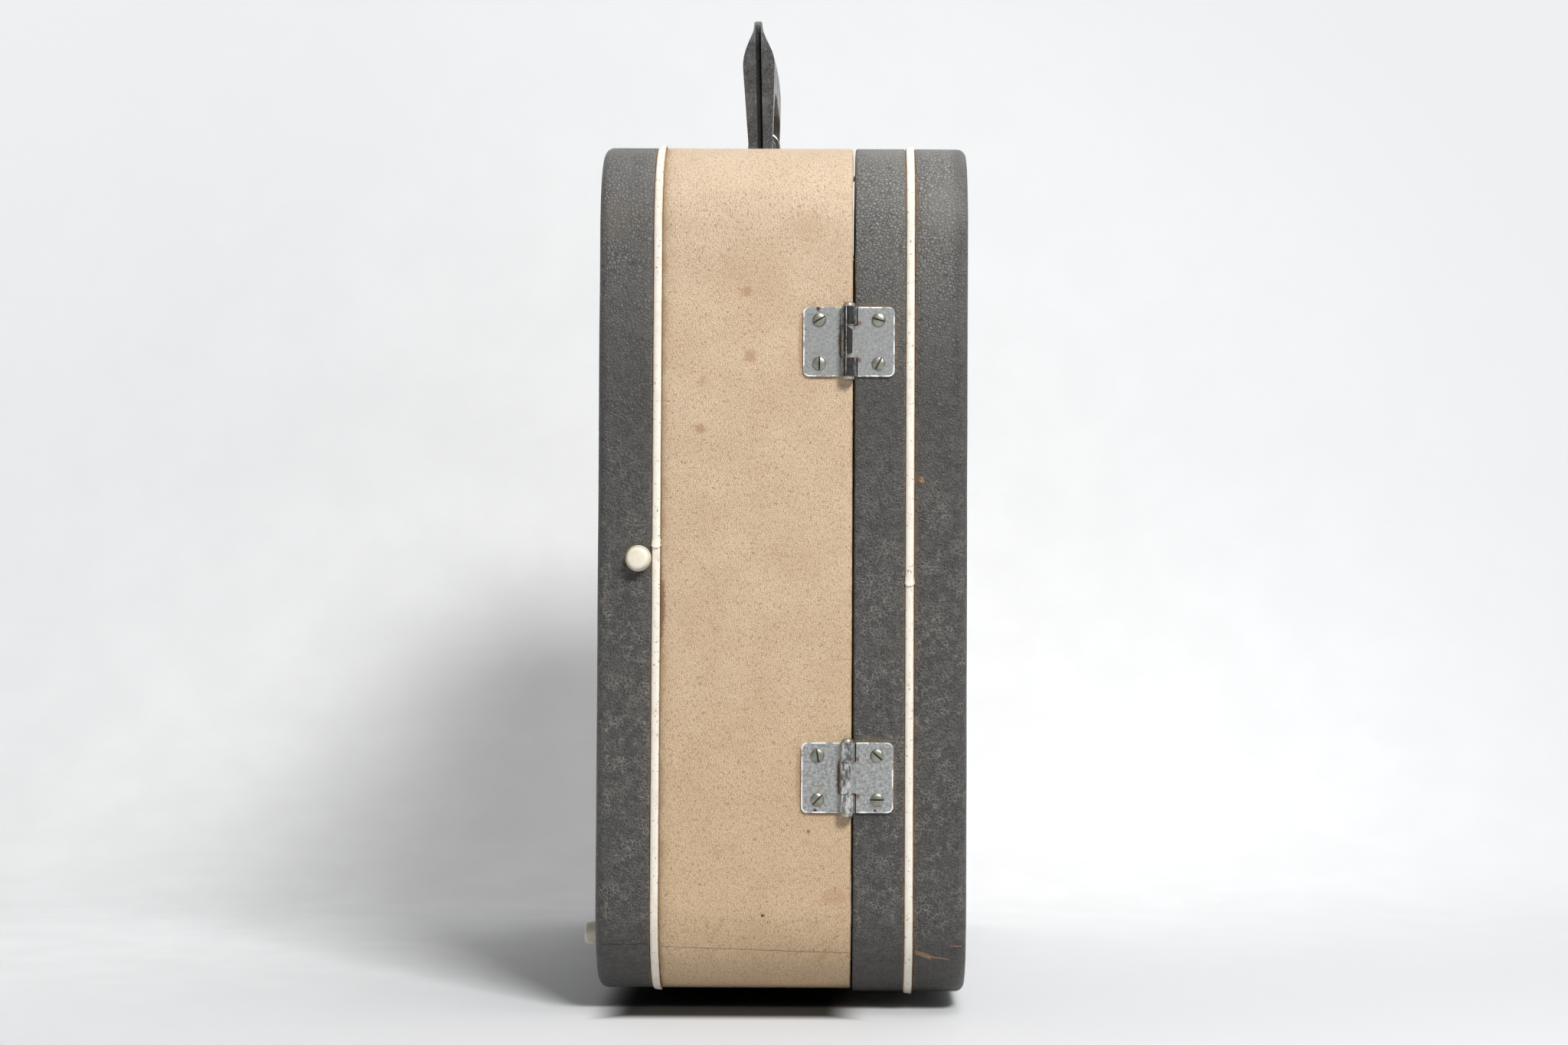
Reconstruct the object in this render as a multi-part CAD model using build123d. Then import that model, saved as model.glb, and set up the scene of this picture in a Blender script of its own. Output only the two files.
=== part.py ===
from build123d import *
import os
from math import cos, radians, sin

# A portable typewriter case, closed and standing upright as it is carried, in millimetres.
# +X runs through the thickness from the deep body shell to the shallow lid shell, +Y from the hinge
# side to the latch side, +Z up to the handle. The origin is under the middle of the whole case, on
# the plane that its bottom studs stand on.

# ---- the two shells ----
CASE_WIDTH = 360.0  # hinge side to latch side
CASE_HEIGHT = 348.0  # bottom to top of the body shell
BODY_DEPTH = 103.1
LID_DEPTH = 45.9
SEAM_GAP = 1.0  # daylight between the rims of the closed shells
LID_OVERHANG = 1.2  # the lid is this much taller than the body, at its bottom
HARDWARE_RISE = 2.9  # hinges, latches and side stud are centred this far above the body's middle
CORNER_RADIUS = 37.0
FACE_FILLET = 3.8  # rounding between a large face and the sides
COVER = 0.8  # leathercloth glued over the wood
PANEL = 4.0  # plywood of the large faces
BOARD = 8.0  # wood of the four sides
LINING = 0.8
LINING_SETBACK = 9.0  # the lid's lining stops this far short of its rim

PIPING_WIDTH = 3.6
PIPING_PROUD = 1.0
PIPING_ROUNDING = 1.2
BODY_PIPING_FROM_FACE = 24.0
LID_PIPING_FROM_FACE = 23.5

# ---- studs that the case stands or lies on ----
STUD_HEIGHT = 7.0
STUD_BASE_RADIUS = 5.4
STUD_TIP_RADIUS = 4.3
STUD_ROUNDING = 1.0
STUD_EDGE_INSET = 21.5  # large-face studs, in from the bottom and top
STUD_SIDE_INSET = 42.0  # large-face studs, in from the hinge and latch sides
SIDE_STUD_FROM_FACE = 16.75
BOTTOM_STUD_FROM_FACE = 16.5
BOTTOM_STUD_FROM_RIM = 10.0
BOTTOM_STUD_FROM_SIDE = 94.0
NAIL_RADIUS = 0.9
NAIL_HEAD_RADIUS = 1.8
NAIL_HEAD_THICKNESS = 0.8
NAIL_IN_STUD = 4.0
NAIL_IN_WOOD = 3.6
HOLE_CLEARANCE = 0.05

# ---- hinges ----
HINGE_SPACING = 176.0  # between the centres of the two hinges
HINGE_FROM_SEAM = 2.0  # the pins lie this far to the body's side of the seam
HINGE_HEIGHT = 28.3
LEAF_REACH = 18.5  # from the pin to a leaf's outer edge
LEAF_THICKNESS = 1.1
LEAF_CORNER = 2.5
KNUCKLE_RADIUS = 3.1
PIN_RADIUS = 1.95
PIN_HEAD_RADIUS = 2.5
PIN_HEAD_HEIGHT = 1.8
PIN_FIT = 0.05
KNUCKLE_HEIGHT = 7.5
KNUCKLE_CLEARANCE = 0.3
LEAF_FROM_KNUCKLE = 0.5
# Where each rolled knuckle is open, in degrees about the pin from +X towards the outside of the case.
BODY_KNUCKLE_OPEN = (200, 262)
LID_KNUCKLE_OPEN = (-78, 62)
TONGUE_TAPER = 3.0  # how far the lid leaf's rolled tongue narrows at its tip, each side
HINGE_SCREW_REACH = 12.0
HINGE_SCREW_SPREAD = 8.85
SCREW_HEAD_RADIUS = 2.75
SCREW_HEAD_HEIGHT = 1.2
SCREW_SHANK_RADIUS = 1.4
SCREW_LENGTH = 7.6
SCREW_SLOT = 0.9

# ---- handle ----
LOOP_RADIUS = 7.2
LOOP_STRAP = 2.1
LOOP_WIDTH = 4.0
LOOP_CENTRE = 12.1  # centre of the loop's round top, above the case
LOOP_TAIL = 1.2  # how far a loop's legs pass through the backing plate
BACKING_THICKNESS = 1.5
BACKING_MARGIN = (5.0, 4.0)  # beyond the loop, along the thickness and the width of the case
BACKING_CORNER = 2.0
HANDLE_LENGTH = 132.0
HANDLE_TOP = 68.8
HANDLE_FOOT = 3.2
HANDLE_SIDE_PLAY = 1.45  # the handle stands this far off the middle of its loops
HANDLE_LEAN = 1.4
LEG_THICKNESS = 9.0
GRIP_UNDERSIDE = 38.0
ARCH_RADIUS = 12.0
FOOT_HALF_WIDTH = 4.8
SHOULDER_HEIGHT = 46.6
END_SHOULDER = 7.0
MIDDLE_SHOULDER = 7.85
FLANK_HEIGHT = 55.4
END_FLANK = 5.3
MIDDLE_FLANK = 6.0
NECK_HEIGHT = 61.0
NECK_HALF_WIDTH = 2.9
RIDGE_HALF_WIDTH = 1.75  # the ridge is rounded on this radius
GROOVE_WIDTH = 2.4
GROOVE_DEPTH = 4.5
GROOVE_END = 4.3  # how far in from the leg's outer face the groove runs out, at the top
GROOVE_END_HEIGHT = 57.0  # from here up it runs out
CORE_THICKNESS = 2.0
PEG_RADIUS = 2.8
PEG_ROUNDING = 0.8
PEG_PAST_LOOP = 2.0
LOOP_LEG_GAP = 0.6  # between a handle leg and the loop beside it
HANDLE_REACH = 20.0  # well outside the handle's flanks, for the shapes that cut it

# ---- latches ----
LATCH_SPACING = 176.0
LATCH_LENGTH = 32.0
LATCH_SPAN = 26.0
LATCH_RISE = 6.5
LATCH_TOTAL_RISE = 9.0  # to the top of the thumb piece
LATCH_SHEET = 0.9
LATCH_FLANGE = 7.0
LATCH_CORNER = 2.0
LATCH_FLANGE_CORNER = 3.0
LATCH_RIVET_INSET = 6.0
LATCH_FROM_RIM = 2.0
LATCH_TRAVEL = 3.0
LATCH_PLAY = 0.4  # between the slide, the tongue and the case
SLIDE_HALF_WIDTH = 5.0
SLIDE_HALF_LENGTH = 6.0
NECK_RADIUS = 2.0
THUMB_HALF_LENGTH = 3.5
THUMB_CORNER = 3.0
THUMB_ROUNDING = 0.8
TONGUE_REACH = 16.0
TONGUE_HALF_WIDTH = 5.0
TONGUE_LIFT = 1.6
STRIKE_THICKNESS = 1.2
STRIKE_LENGTH = 19.0
STRIKE_HALF_WIDTH = 9.0
STRIKE_FROM_RIM = 1.0
STRIKE_CORNER = 3.0
STRIKE_RIVET_INSET = 6.0
STRIKE_RIVET_SPREAD = 5.0
TONGUE_CORNER = 1.5
NOTCH_FROM_TIP = 4.0
NOTCH_LENGTH = 4.4
NOTCH_DEPTH = 3.0
RIVET_RADIUS = 1.2
RIVET_HEAD_RADIUS = 2.2
RIVET_HEAD_HEIGHT = 1.0
RIVET_LENGTH = 7.6

# ---- fittings inside ----
TONGUE_STRIP_THICKNESS = 3.0
TONGUE_STRIP_LENGTH = 250.0
TONGUE_STRIP_WIDTH = 36.0
TONGUE_STRIP_PROUD = 6.0
TONGUE_STRIP_CHAMFER = 1.0
TACK_HEAD_RADIUS = 1.2
TACK_PROUD = 0.8
TACK_SHANK_RADIUS = 0.6
TACK_LENGTH = 8.0
TACK_INSET = 15.0
REST_BLOCK = 32.0
REST_BLOCK_HEIGHT = 14.0
REST_BLOCK_CHAMFER = 2.0
REST_SPREAD_Y = 108.0
REST_SPREAD_Z = 98.0
PAD_RADIUS = 13.0
PAD_HEIGHT = 5.0
PAD_ROUNDING = 1.2
CLIP_BLOCK_SIZE = (34.0, 18.0, 44.0)
CLIP_LENGTH = 44.0
CLIP_HALF_WIDTH = 6.0
CLIP_THICKNESS = 1.6
CLIP_PIVOT_RADIUS = 2.0
CLIP_KNOB_RADIUS = 3.0
CLIP_KNOB_HEIGHT = 5.0
CLIP_KNOB_ROUNDING = 1.0
CLIP_GAP = 0.3  # between a clip and its block, and between a clip and its screw's head
CLIP_BLOCK_FROM_STRIP = 1.0
CLIP_PIVOT_FROM_END = 10.0
CLIP_SCREW_LENGTH = 12.0
CLIP_SCREW_HEAD_RADIUS = 4.0
CLIP_SCREW_HEAD_HEIGHT = 1.6
CLIP_SCREW_SLOT = (1.0, 0.8)  # width and depth

# ---- places worked out from the above ----
BODY_FACE_X = STUD_HEIGHT / 2 - (BODY_DEPTH + SEAM_GAP + LID_DEPTH) / 2
BODY_RIM_X = BODY_FACE_X + BODY_DEPTH
LID_RIM_X = BODY_RIM_X + SEAM_GAP
LID_FACE_X = LID_RIM_X + LID_DEPTH
HINGE_SIDE_Y = STUD_HEIGHT - (CASE_WIDTH + STUD_HEIGHT + LATCH_TOTAL_RISE) / 2
LATCH_SIDE_Y = HINGE_SIDE_Y + CASE_WIDTH
MIDDLE_Y = (HINGE_SIDE_Y + LATCH_SIDE_Y) / 2
BOTTOM_Z = STUD_HEIGHT
TOP_Z = BOTTOM_Z + CASE_HEIGHT
MIDDLE_Z = (BOTTOM_Z + TOP_Z) / 2
HARDWARE_Z = MIDDLE_Z + HARDWARE_RISE
HINGE_X = (BODY_RIM_X + LID_RIM_X) / 2 - HINGE_FROM_SEAM
HINGE_Y = HINGE_SIDE_Y - KNUCKLE_RADIUS
LOOP_X = (BODY_FACE_X + BODY_PIPING_FROM_FACE + BODY_RIM_X) / 2
HANDLE_X = LOOP_X - HANDLE_SIDE_PLAY
PIVOT_Z = TOP_Z + LOOP_CENTRE
WALL = COVER + BOARD
FLOOR = COVER + PANEL + LINING  # from a large face to the lining inside it


class Shell:
    """One half of the case. Depths are measured inwards from its large face."""

    def __init__(self, face_x, rim_x, bottom_z, piping_from_face):
        self.face_x = face_x
        self.depth = abs(rim_x - face_x)
        self.inward = 1 if rim_x > face_x else -1
        self.bottom_z = bottom_z
        self.piping_from_face = piping_from_face

    def x(self, depth):
        return self.face_x + self.inward * depth

    def prism(self, start, end, inset):
        """A round-cornered slab from one depth to another, inset all round from the outer surface."""
        width = CASE_WIDTH - 2 * inset
        height = TOP_Z - self.bottom_z - 2 * inset
        outline = RectangleRounded(width, height, CORNER_RADIUS - inset)
        low_x = min(self.x(start), self.x(end))
        centre = (low_x, MIDDLE_Y, (TOP_Z + self.bottom_z) / 2)
        plane = Plane(origin=centre, x_dir=(0, 1, 0), z_dir=(1, 0, 0))
        return extrude(plane * outline, abs(end - start))

    def face_edges(self, solid):
        """The edges round the end of a slab that lies nearest the large face."""
        ends = solid.faces().filter_by(Axis.X).sort_by(Axis.X)
        return (ends[0] if self.inward > 0 else ends[-1]).edges()

    def rim_edges(self, solid):
        """The edges round the end of a slab that lies nearest the rim."""
        ends = solid.faces().filter_by(Axis.X).sort_by(Axis.X)
        return (ends[-1] if self.inward > 0 else ends[0]).edges()


BODY = Shell(BODY_FACE_X, BODY_RIM_X, BOTTOM_Z, BODY_PIPING_FROM_FACE)
LID = Shell(LID_FACE_X, LID_RIM_X, BOTTOM_Z - LID_OVERHANG, LID_PIPING_FROM_FACE)


# ---- small shapes ----
def box_between(low, high):
    """An upright box from its lowest to its highest corner."""
    size = [b - a for a, b in zip(low, high)]
    centre = [(a + b) / 2 for a, b in zip(low, high)]
    return Pos(*centre) * Box(*size)


def rod(start, direction, radius, length):
    """A cylinder that begins at a point and runs along a direction."""
    plane = Plane(origin=start, z_dir=direction)
    return extrude(plane * Circle(radius), length)


def round_far_end(solid, start, direction, length, radius):
    """Round the circular edge at the far end of a rod or cone."""
    end = [s + d * length for s, d in zip(start, direction)]
    rim = solid.edges().filter_by(GeomType.CIRCLE).sort_by_distance(end)[0]
    return fillet(rim, radius)


def domed_rod(start, direction, radius, length, rounding):
    """A cylinder whose far end is rounded."""
    return round_far_end(rod(start, direction, radius, length), start, direction, length, rounding)


def without(solid, tools):
    """A solid with each of the tools cut out of it."""
    for tool in tools:
        solid = solid - tool
    return solid


def group(solids):
    """Several separate solids that share one sub-part."""
    return Compound(children=list(solids))


# ---- wood, cloth, piping and lining of a shell ----
def large_panel(shell):
    start, end = COVER, COVER + PANEL
    panel = shell.prism(start, end, COVER)
    return fillet(shell.face_edges(panel), FACE_FILLET - COVER)


def side_boards(shell):
    """The four side boards, which run between the corner posts: hinge, latch, bottom and top."""
    near_x, far_x = sorted((shell.x(COVER + PANEL), shell.x(shell.depth)))
    low_y, high_y = HINGE_SIDE_Y + CORNER_RADIUS, LATCH_SIDE_Y - CORNER_RADIUS
    low_z, high_z = shell.bottom_z + CORNER_RADIUS, TOP_Z - CORNER_RADIUS
    spans = {
        "hinge_side": (HINGE_SIDE_Y + COVER, HINGE_SIDE_Y + WALL, low_z, high_z),
        "latch_side": (LATCH_SIDE_Y - WALL, LATCH_SIDE_Y - COVER, low_z, high_z),
        "bottom": (low_y, high_y, shell.bottom_z + COVER, shell.bottom_z + WALL),
        "top": (low_y, high_y, TOP_Z - WALL, TOP_Z - COVER),
    }
    return {
        name: box_between((near_x, y0, z0), (far_x, y1, z1))
        for name, (y0, y1, z0, z1) in spans.items()
    }


def corner_post(shell, toward_y, toward_z):
    """A solid wood post with a round outside and a flat inside, between two side boards."""
    side_y = LATCH_SIDE_Y if toward_y > 0 else HINGE_SIDE_Y
    side_z = TOP_Z if toward_z > 0 else shell.bottom_z
    y, z = side_y - toward_y * CORNER_RADIUS, side_z - toward_z * CORNER_RADIUS
    outer, inner = CORNER_RADIUS - COVER, CORNER_RADIUS - WALL
    diagonal = outer * cos(radians(45))
    arc = ThreePointArc(
        (y, z + toward_z * outer),
        (y + toward_y * diagonal, z + toward_z * diagonal),
        (y + toward_y * outer, z),
    )
    inside = Polyline(
        (y + toward_y * outer, z),
        (y + toward_y * inner, z),
        (y, z + toward_z * inner),
        (y, z + toward_z * outer),
    )
    low_x = min(shell.x(COVER + PANEL), shell.x(shell.depth))
    outline = Plane(origin=(low_x, 0, 0), x_dir=(0, 1, 0), z_dir=(1, 0, 0)) * make_face([arc, inside])
    return extrude(outline, shell.depth - COVER - PANEL, dir=(1, 0, 0))


def corner_posts(shell):
    return [corner_post(shell, y, z) for y in (-1, 1) for z in (-1, 1)]


def face_cover(shell):
    """The cloth over a large face, turned down the sides as far as the piping."""
    end = shell.piping_from_face - PIPING_WIDTH / 2
    outer = shell.prism(0, end, 0)
    outer = fillet(shell.face_edges(outer), FACE_FILLET)
    inner = shell.prism(COVER, end + 1, COVER)
    inner = fillet(shell.face_edges(inner), FACE_FILLET - COVER)
    return outer - inner


def rim_cover(shell):
    """The band of cloth between the piping and the rim."""
    start = shell.piping_from_face + PIPING_WIDTH / 2
    outer = shell.prism(start, shell.depth, 0)
    outer = fillet(shell.rim_edges(outer), COVER * 0.75)
    return outer - shell.prism(start - 1, shell.depth + 1, COVER)


def piping(shell):
    """The rounded bead between the two cloths."""
    start = shell.piping_from_face - PIPING_WIDTH / 2
    end = start + PIPING_WIDTH
    outer = shell.prism(start, end, -PIPING_PROUD)
    outer = fillet(outer.faces().filter_by(Axis.X).edges(), PIPING_ROUNDING)
    return outer - shell.prism(start - 1, end + 1, COVER)


def inner_prism(shell, start, end, inset):
    """The eight-sided space inside the boards and posts, between two depths."""
    width = CASE_WIDTH - 2 * (WALL + inset)
    height = TOP_Z - shell.bottom_z - 2 * (WALL + inset)
    flat = CORNER_RADIUS - WALL - inset * (2 - 2 ** 0.5)
    low_x = min(shell.x(start), shell.x(end))
    centre = (low_x, MIDDLE_Y, (TOP_Z + shell.bottom_z) / 2)
    outline = Rectangle(width, height)
    outline = chamfer(outline.vertices(), flat)
    plane = Plane(origin=centre, x_dir=(0, 1, 0), z_dir=(1, 0, 0))
    return extrude(plane * outline, abs(end - start))


def lining(shell, end):
    """The cloth tray that lines a shell, from its large panel to a depth short of the rim."""
    outer = inner_prism(shell, COVER + PANEL, end, 0)
    return outer - inner_prism(shell, FLOOR, end + 1, LINING)


# ---- studs ----
def stud_places():
    """Each stud's centre on the surface and the way that it points, by group."""
    low_y, high_y = HINGE_SIDE_Y + BOTTOM_STUD_FROM_SIDE, LATCH_SIDE_Y - BOTTOM_STUD_FROM_SIDE
    rows = (BODY_FACE_X + BOTTOM_STUD_FROM_FACE, BODY_RIM_X - BOTTOM_STUD_FROM_RIM)
    bottom = [((x, y, BOTTOM_Z), (0, 0, -1)) for x in rows for y in (low_y, high_y)]
    lying = [
        ((BODY_FACE_X, HINGE_SIDE_Y + STUD_SIDE_INSET, BOTTOM_Z + STUD_EDGE_INSET), (-1, 0, 0)),
        ((BODY_FACE_X, LATCH_SIDE_Y - STUD_SIDE_INSET, BOTTOM_Z + STUD_EDGE_INSET), (-1, 0, 0)),
        ((BODY_FACE_X, MIDDLE_Y, TOP_Z - STUD_EDGE_INSET), (-1, 0, 0)),
    ]
    side = [((BODY_FACE_X + SIDE_STUD_FROM_FACE, HINGE_SIDE_Y, HARDWARE_Z), (0, -1, 0))]
    return {"bottom_studs": bottom, "lying_studs": lying, "side_stud": side}


def nail(place, direction, spare=0.0):
    """A nail whose head is moulded into a stud and whose shank goes into the wood."""
    inward = [-d for d in direction]
    head_top = [p + d * NAIL_IN_STUD for p, d in zip(place, direction)]
    head = rod(head_top, inward, NAIL_HEAD_RADIUS + spare, NAIL_HEAD_THICKNESS)
    shank = rod(head_top, inward, NAIL_RADIUS + spare, NAIL_IN_STUD + COVER + NAIL_IN_WOOD + spare)
    return head + shank


def stud(place, direction):
    base = Plane(origin=place, z_dir=direction)
    middle = STUD_HEIGHT / 2
    body = base * Pos(0, 0, middle) * Cone(STUD_BASE_RADIUS, STUD_TIP_RADIUS, STUD_HEIGHT)
    body = round_far_end(body, place, direction, STUD_HEIGHT, STUD_ROUNDING)
    return body - nail(place, direction, HOLE_CLEARANCE)


# ---- screws and rivets ----
def screw(place, direction, slot_angle, spare=0.0):
    """A slotted round-head wood screw seated on a surface, its shank running the other way."""
    inward = [-d for d in direction]
    shank = rod(place, inward, SCREW_SHANK_RADIUS + spare, SCREW_LENGTH + spare)
    if spare:
        return shank
    head = domed_rod(place, direction, SCREW_HEAD_RADIUS, SCREW_HEAD_HEIGHT, SCREW_HEAD_HEIGHT * 0.6)
    seat = Plane(origin=place, z_dir=direction)
    slot = Box(SCREW_SLOT, 3 * SCREW_HEAD_RADIUS, SCREW_HEAD_HEIGHT)
    slot = seat * Pos(0, 0, SCREW_HEAD_HEIGHT) * Rot(0, 0, slot_angle) * slot
    return head - slot + shank


def rivet(place, direction, spare=0.0):
    """A domed rivet seated on a surface, its shank running the other way."""
    inward = [-d for d in direction]
    shank = rod(place, inward, RIVET_RADIUS + spare, RIVET_LENGTH + spare)
    if spare:
        return shank
    return domed_rod(place, direction, RIVET_HEAD_RADIUS, RIVET_HEAD_HEIGHT, RIVET_HEAD_HEIGHT * 0.8) + shank


# ---- hinges ----
def hinge_centres():
    return {"lower": HARDWARE_Z - HINGE_SPACING / 2, "upper": HARDWARE_Z + HINGE_SPACING / 2}


def knuckle_band(centre_z, part):
    """The lowest and highest Z of a hinge's lower, middle or upper knuckle."""
    low, high = centre_z - HINGE_HEIGHT / 2, centre_z + HINGE_HEIGHT / 2
    bands = {
        "lower": (low, low + KNUCKLE_HEIGHT),
        "upper": (high - KNUCKLE_HEIGHT, high),
        "middle": (low + KNUCKLE_HEIGHT + KNUCKLE_CLEARANCE, high - KNUCKLE_HEIGHT - KNUCKLE_CLEARANCE),
    }
    return bands[part]


def rolled_knuckle(side, open_between, band):
    """Sheet that runs along the case under the pin and is rolled round it, open between two angles.

    side is -1 for sheet that comes from the body and 1 for sheet that comes from the lid.
    """
    ring = Circle(KNUCKLE_RADIUS) - Circle(PIN_RADIUS + PIN_FIT)
    reach = 2 * KNUCKLE_RADIUS
    corners = [(reach * cos(radians(a)), -reach * sin(radians(a))) for a in open_between]
    middle = radians(sum(open_between) / 2)
    bulge = (3 * reach * cos(middle), -3 * reach * sin(middle))
    ring = ring - make_face(Polyline((0, 0), corners[0], bulge, corners[1], (0, 0)))
    low, high = band
    roll = extrude(Plane(origin=(HINGE_X, HINGE_Y, low)) * ring, high - low)
    inner_x, outer_x = sorted((HINGE_X, HINGE_X + side * 2 * KNUCKLE_RADIUS))
    sheet = box_between((inner_x, HINGE_SIDE_Y - LEAF_THICKNESS, low), (outer_x, HINGE_SIDE_Y, high))
    return roll + sheet


def leaf_plate(side, centre_z):
    """The flat part of a leaf, clear of the knuckles, with its outer corners rounded."""
    near = HINGE_X + side * (KNUCKLE_RADIUS + LEAF_FROM_KNUCKLE)
    far = HINGE_X + side * LEAF_REACH
    low = (min(near, far), HINGE_SIDE_Y - LEAF_THICKNESS, centre_z - HINGE_HEIGHT / 2)
    high = (max(near, far), HINGE_SIDE_Y, centre_z + HINGE_HEIGHT / 2)
    plate = box_between(low, high)
    corners = plate.edges().filter_by(Axis.Y).sort_by(Axis.X)
    return fillet(corners[:2] if side < 0 else corners[2:], LEAF_CORNER)


def hinge_screw_places(side, centre_z):
    """Where the screws of a leaf are seated: the upper one first."""
    x = HINGE_X + side * HINGE_SCREW_REACH
    y = HINGE_SIDE_Y - LEAF_THICKNESS
    return [(x, y, centre_z + HINGE_SCREW_SPREAD), (x, y, centre_z - HINGE_SCREW_SPREAD)]


OUTWARD_HINGE_SIDE = (0, -1, 0)
# How each screw was left turned, in degrees from level: the body's leaf, then the lid's, upper screw first.
SLOT_ANGLES = {"upper": {-1: (30, 90), 1: (-15, 62)}, "lower": {-1: (100, 45), 1: (-40, 0)}}


def leaf_screw_holes(side, centre_z):
    """Clearance holes from outside a leaf through it."""
    above = LEAF_THICKNESS
    return [
        rod((x, y - above, z), (0, 1, 0), SCREW_SHANK_RADIUS + HOLE_CLEARANCE, LEAF_THICKNESS + 2 * above)
        for x, y, z in hinge_screw_places(side, centre_z)
    ]


def body_leaf(centre_z):
    """The leaf on the body, with a knuckle at each end of the pin."""
    leaf = leaf_plate(-1, centre_z)
    for part in ("lower", "upper"):
        leaf = leaf + rolled_knuckle(-1, BODY_KNUCKLE_OPEN, knuckle_band(centre_z, part))
    return without(leaf, leaf_screw_holes(-1, centre_z))


def lid_leaf(centre_z):
    """The leaf on the lid, whose middle tongue is rolled round the pin to a tapered tip."""
    band = knuckle_band(centre_z, "middle")
    leaf = leaf_plate(1, centre_z) + rolled_knuckle(1, LID_KNUCKLE_OPEN, band)
    low, high = band
    start, tip = -0.4 * KNUCKLE_RADIUS, 1.3 * KNUCKLE_RADIUS
    for edge, inner in ((low, low + TONGUE_TAPER), (high, high - TONGUE_TAPER)):
        outline = make_face(Polyline((start, edge), (tip, edge), (tip, inner), (start, edge)))
        place = Plane(origin=(HINGE_X, HINGE_Y, 0), x_dir=(1, 0, 0), z_dir=(0, -1, 0))
        leaf = leaf - extrude(place * outline, 2 * KNUCKLE_RADIUS)
    return without(leaf, leaf_screw_holes(1, centre_z))


def hinge_pin(centre_z):
    """A pin with both ends riveted into domes outside the body leaf's knuckles."""
    half = HINGE_HEIGHT / 2
    pin = rod((HINGE_X, HINGE_Y, centre_z - half), (0, 0, 1), PIN_RADIUS, HINGE_HEIGHT)
    for end in (-1, 1):
        seat = (HINGE_X, HINGE_Y, centre_z + end * half)
        pin = pin + domed_rod(seat, (0, 0, end), PIN_HEAD_RADIUS, PIN_HEAD_HEIGHT, PIN_HEAD_HEIGHT * 0.8)
    return pin


def hinge_screws(side, spare=0.0):
    """The screws of both hinges on one shell."""
    return [
        screw(place, OUTWARD_HINGE_SIDE, angle, spare)
        for name, centre_z in hinge_centres().items()
        for place, angle in zip(hinge_screw_places(side, centre_z), SLOT_ANGLES[name][side])
    ]


# ---- handle ----
def leg_face_y(end):
    """The outer face of the handle's leg at one end."""
    return MIDDLE_Y + end * HANDLE_LENGTH / 2


def loop_centre_y(end):
    return leg_face_y(end) - end * (LEG_THICKNESS + LOOP_LEG_GAP + LOOP_WIDTH / 2)


def loop_outline(radius, foot_z):
    """A round-topped upright outline, as wide as the loop's outside or inside."""
    top = Circle(radius)
    legs = Pos(0, (foot_z - LOOP_CENTRE) / 2) * Rectangle(2 * radius, LOOP_CENTRE - foot_z)
    return top + legs


def handle_loop(end):
    """A steel strap bent into a staple, its legs riveted through the top board."""
    foot_z = -(WALL + LINING + BACKING_THICKNESS + LOOP_TAIL)
    strap = loop_outline(LOOP_RADIUS, foot_z) - loop_outline(LOOP_RADIUS - LOOP_STRAP, foot_z - 1)
    start = (LOOP_X, loop_centre_y(end) + LOOP_WIDTH / 2, PIVOT_Z)
    return extrude(Plane(origin=start, x_dir=(1, 0, 0), z_dir=(0, -1, 0)) * strap, LOOP_WIDTH)


def loop_leg_slots(spare):
    """Room for the legs of both loops through everything under them."""
    low_z, high_z = TOP_Z - 3 * WALL, TOP_Z + 1
    reach = LOOP_RADIUS - LOOP_STRAP / 2
    half_x, half_y = LOOP_STRAP / 2 + spare, LOOP_WIDTH / 2 + spare
    slots = []
    for end in (-1, 1):
        for side in (-1, 1):
            x, y = LOOP_X + side * reach, loop_centre_y(end)
            slots.append(box_between((x - half_x, y - half_y, low_z), (x + half_x, y + half_y, high_z)))
    return slots


def backing_plate(end):
    """The steel plate inside the case that a loop's legs are riveted over."""
    half_x, half_y = LOOP_RADIUS + BACKING_MARGIN[0], LOOP_WIDTH / 2 + BACKING_MARGIN[1]
    top = TOP_Z - WALL - LINING
    y = loop_centre_y(end)
    plate = box_between(
        (LOOP_X - half_x, y - half_y, top - BACKING_THICKNESS), (LOOP_X + half_x, y + half_y, top)
    )
    plate = fillet(plate.edges().filter_by(Axis.Z), BACKING_CORNER)
    return without(plate, loop_leg_slots(HOLE_CLEARANCE))


def handle_section(y, shoulder, flank):
    """The handle cut across: a leg that widens to its shoulders and draws in to a rounded ridge."""
    foot_left, foot_right = (-FOOT_HALF_WIDTH, HANDLE_FOOT), (FOOT_HALF_WIDTH, HANDLE_FOOT)
    left, right = (-shoulder, SHOULDER_HEIGHT), (shoulder, SHOULDER_HEIGHT)
    flank_left, flank_right = (-flank, FLANK_HEIGHT), (flank, FLANK_HEIGHT)
    neck_left, neck_right = (-NECK_HALF_WIDTH, NECK_HEIGHT), (NECK_HALF_WIDTH, NECK_HEIGHT)
    ridge_start = HANDLE_TOP - RIDGE_HALF_WIDTH
    ridge_left, ridge_right = (-RIDGE_HALF_WIDTH, ridge_start), (RIDGE_HALF_WIDTH, ridge_start)
    outline = [
        Line(foot_left, left),
        Spline(left, flank_left, neck_left, ridge_left, tangents=[(0, 1), (0, 1)]),
        ThreePointArc(ridge_left, (0, HANDLE_TOP), ridge_right),
        Spline(ridge_right, neck_right, flank_right, right, tangents=[(0, -1), (0, -1)]),
        Line(right, foot_right),
        Line(foot_right, foot_left),
    ]
    plane = Plane(origin=(HANDLE_X, y, TOP_Z), x_dir=(1, 0, 0), z_dir=(0, -1, 0))
    return plane * make_face(outline)


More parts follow.
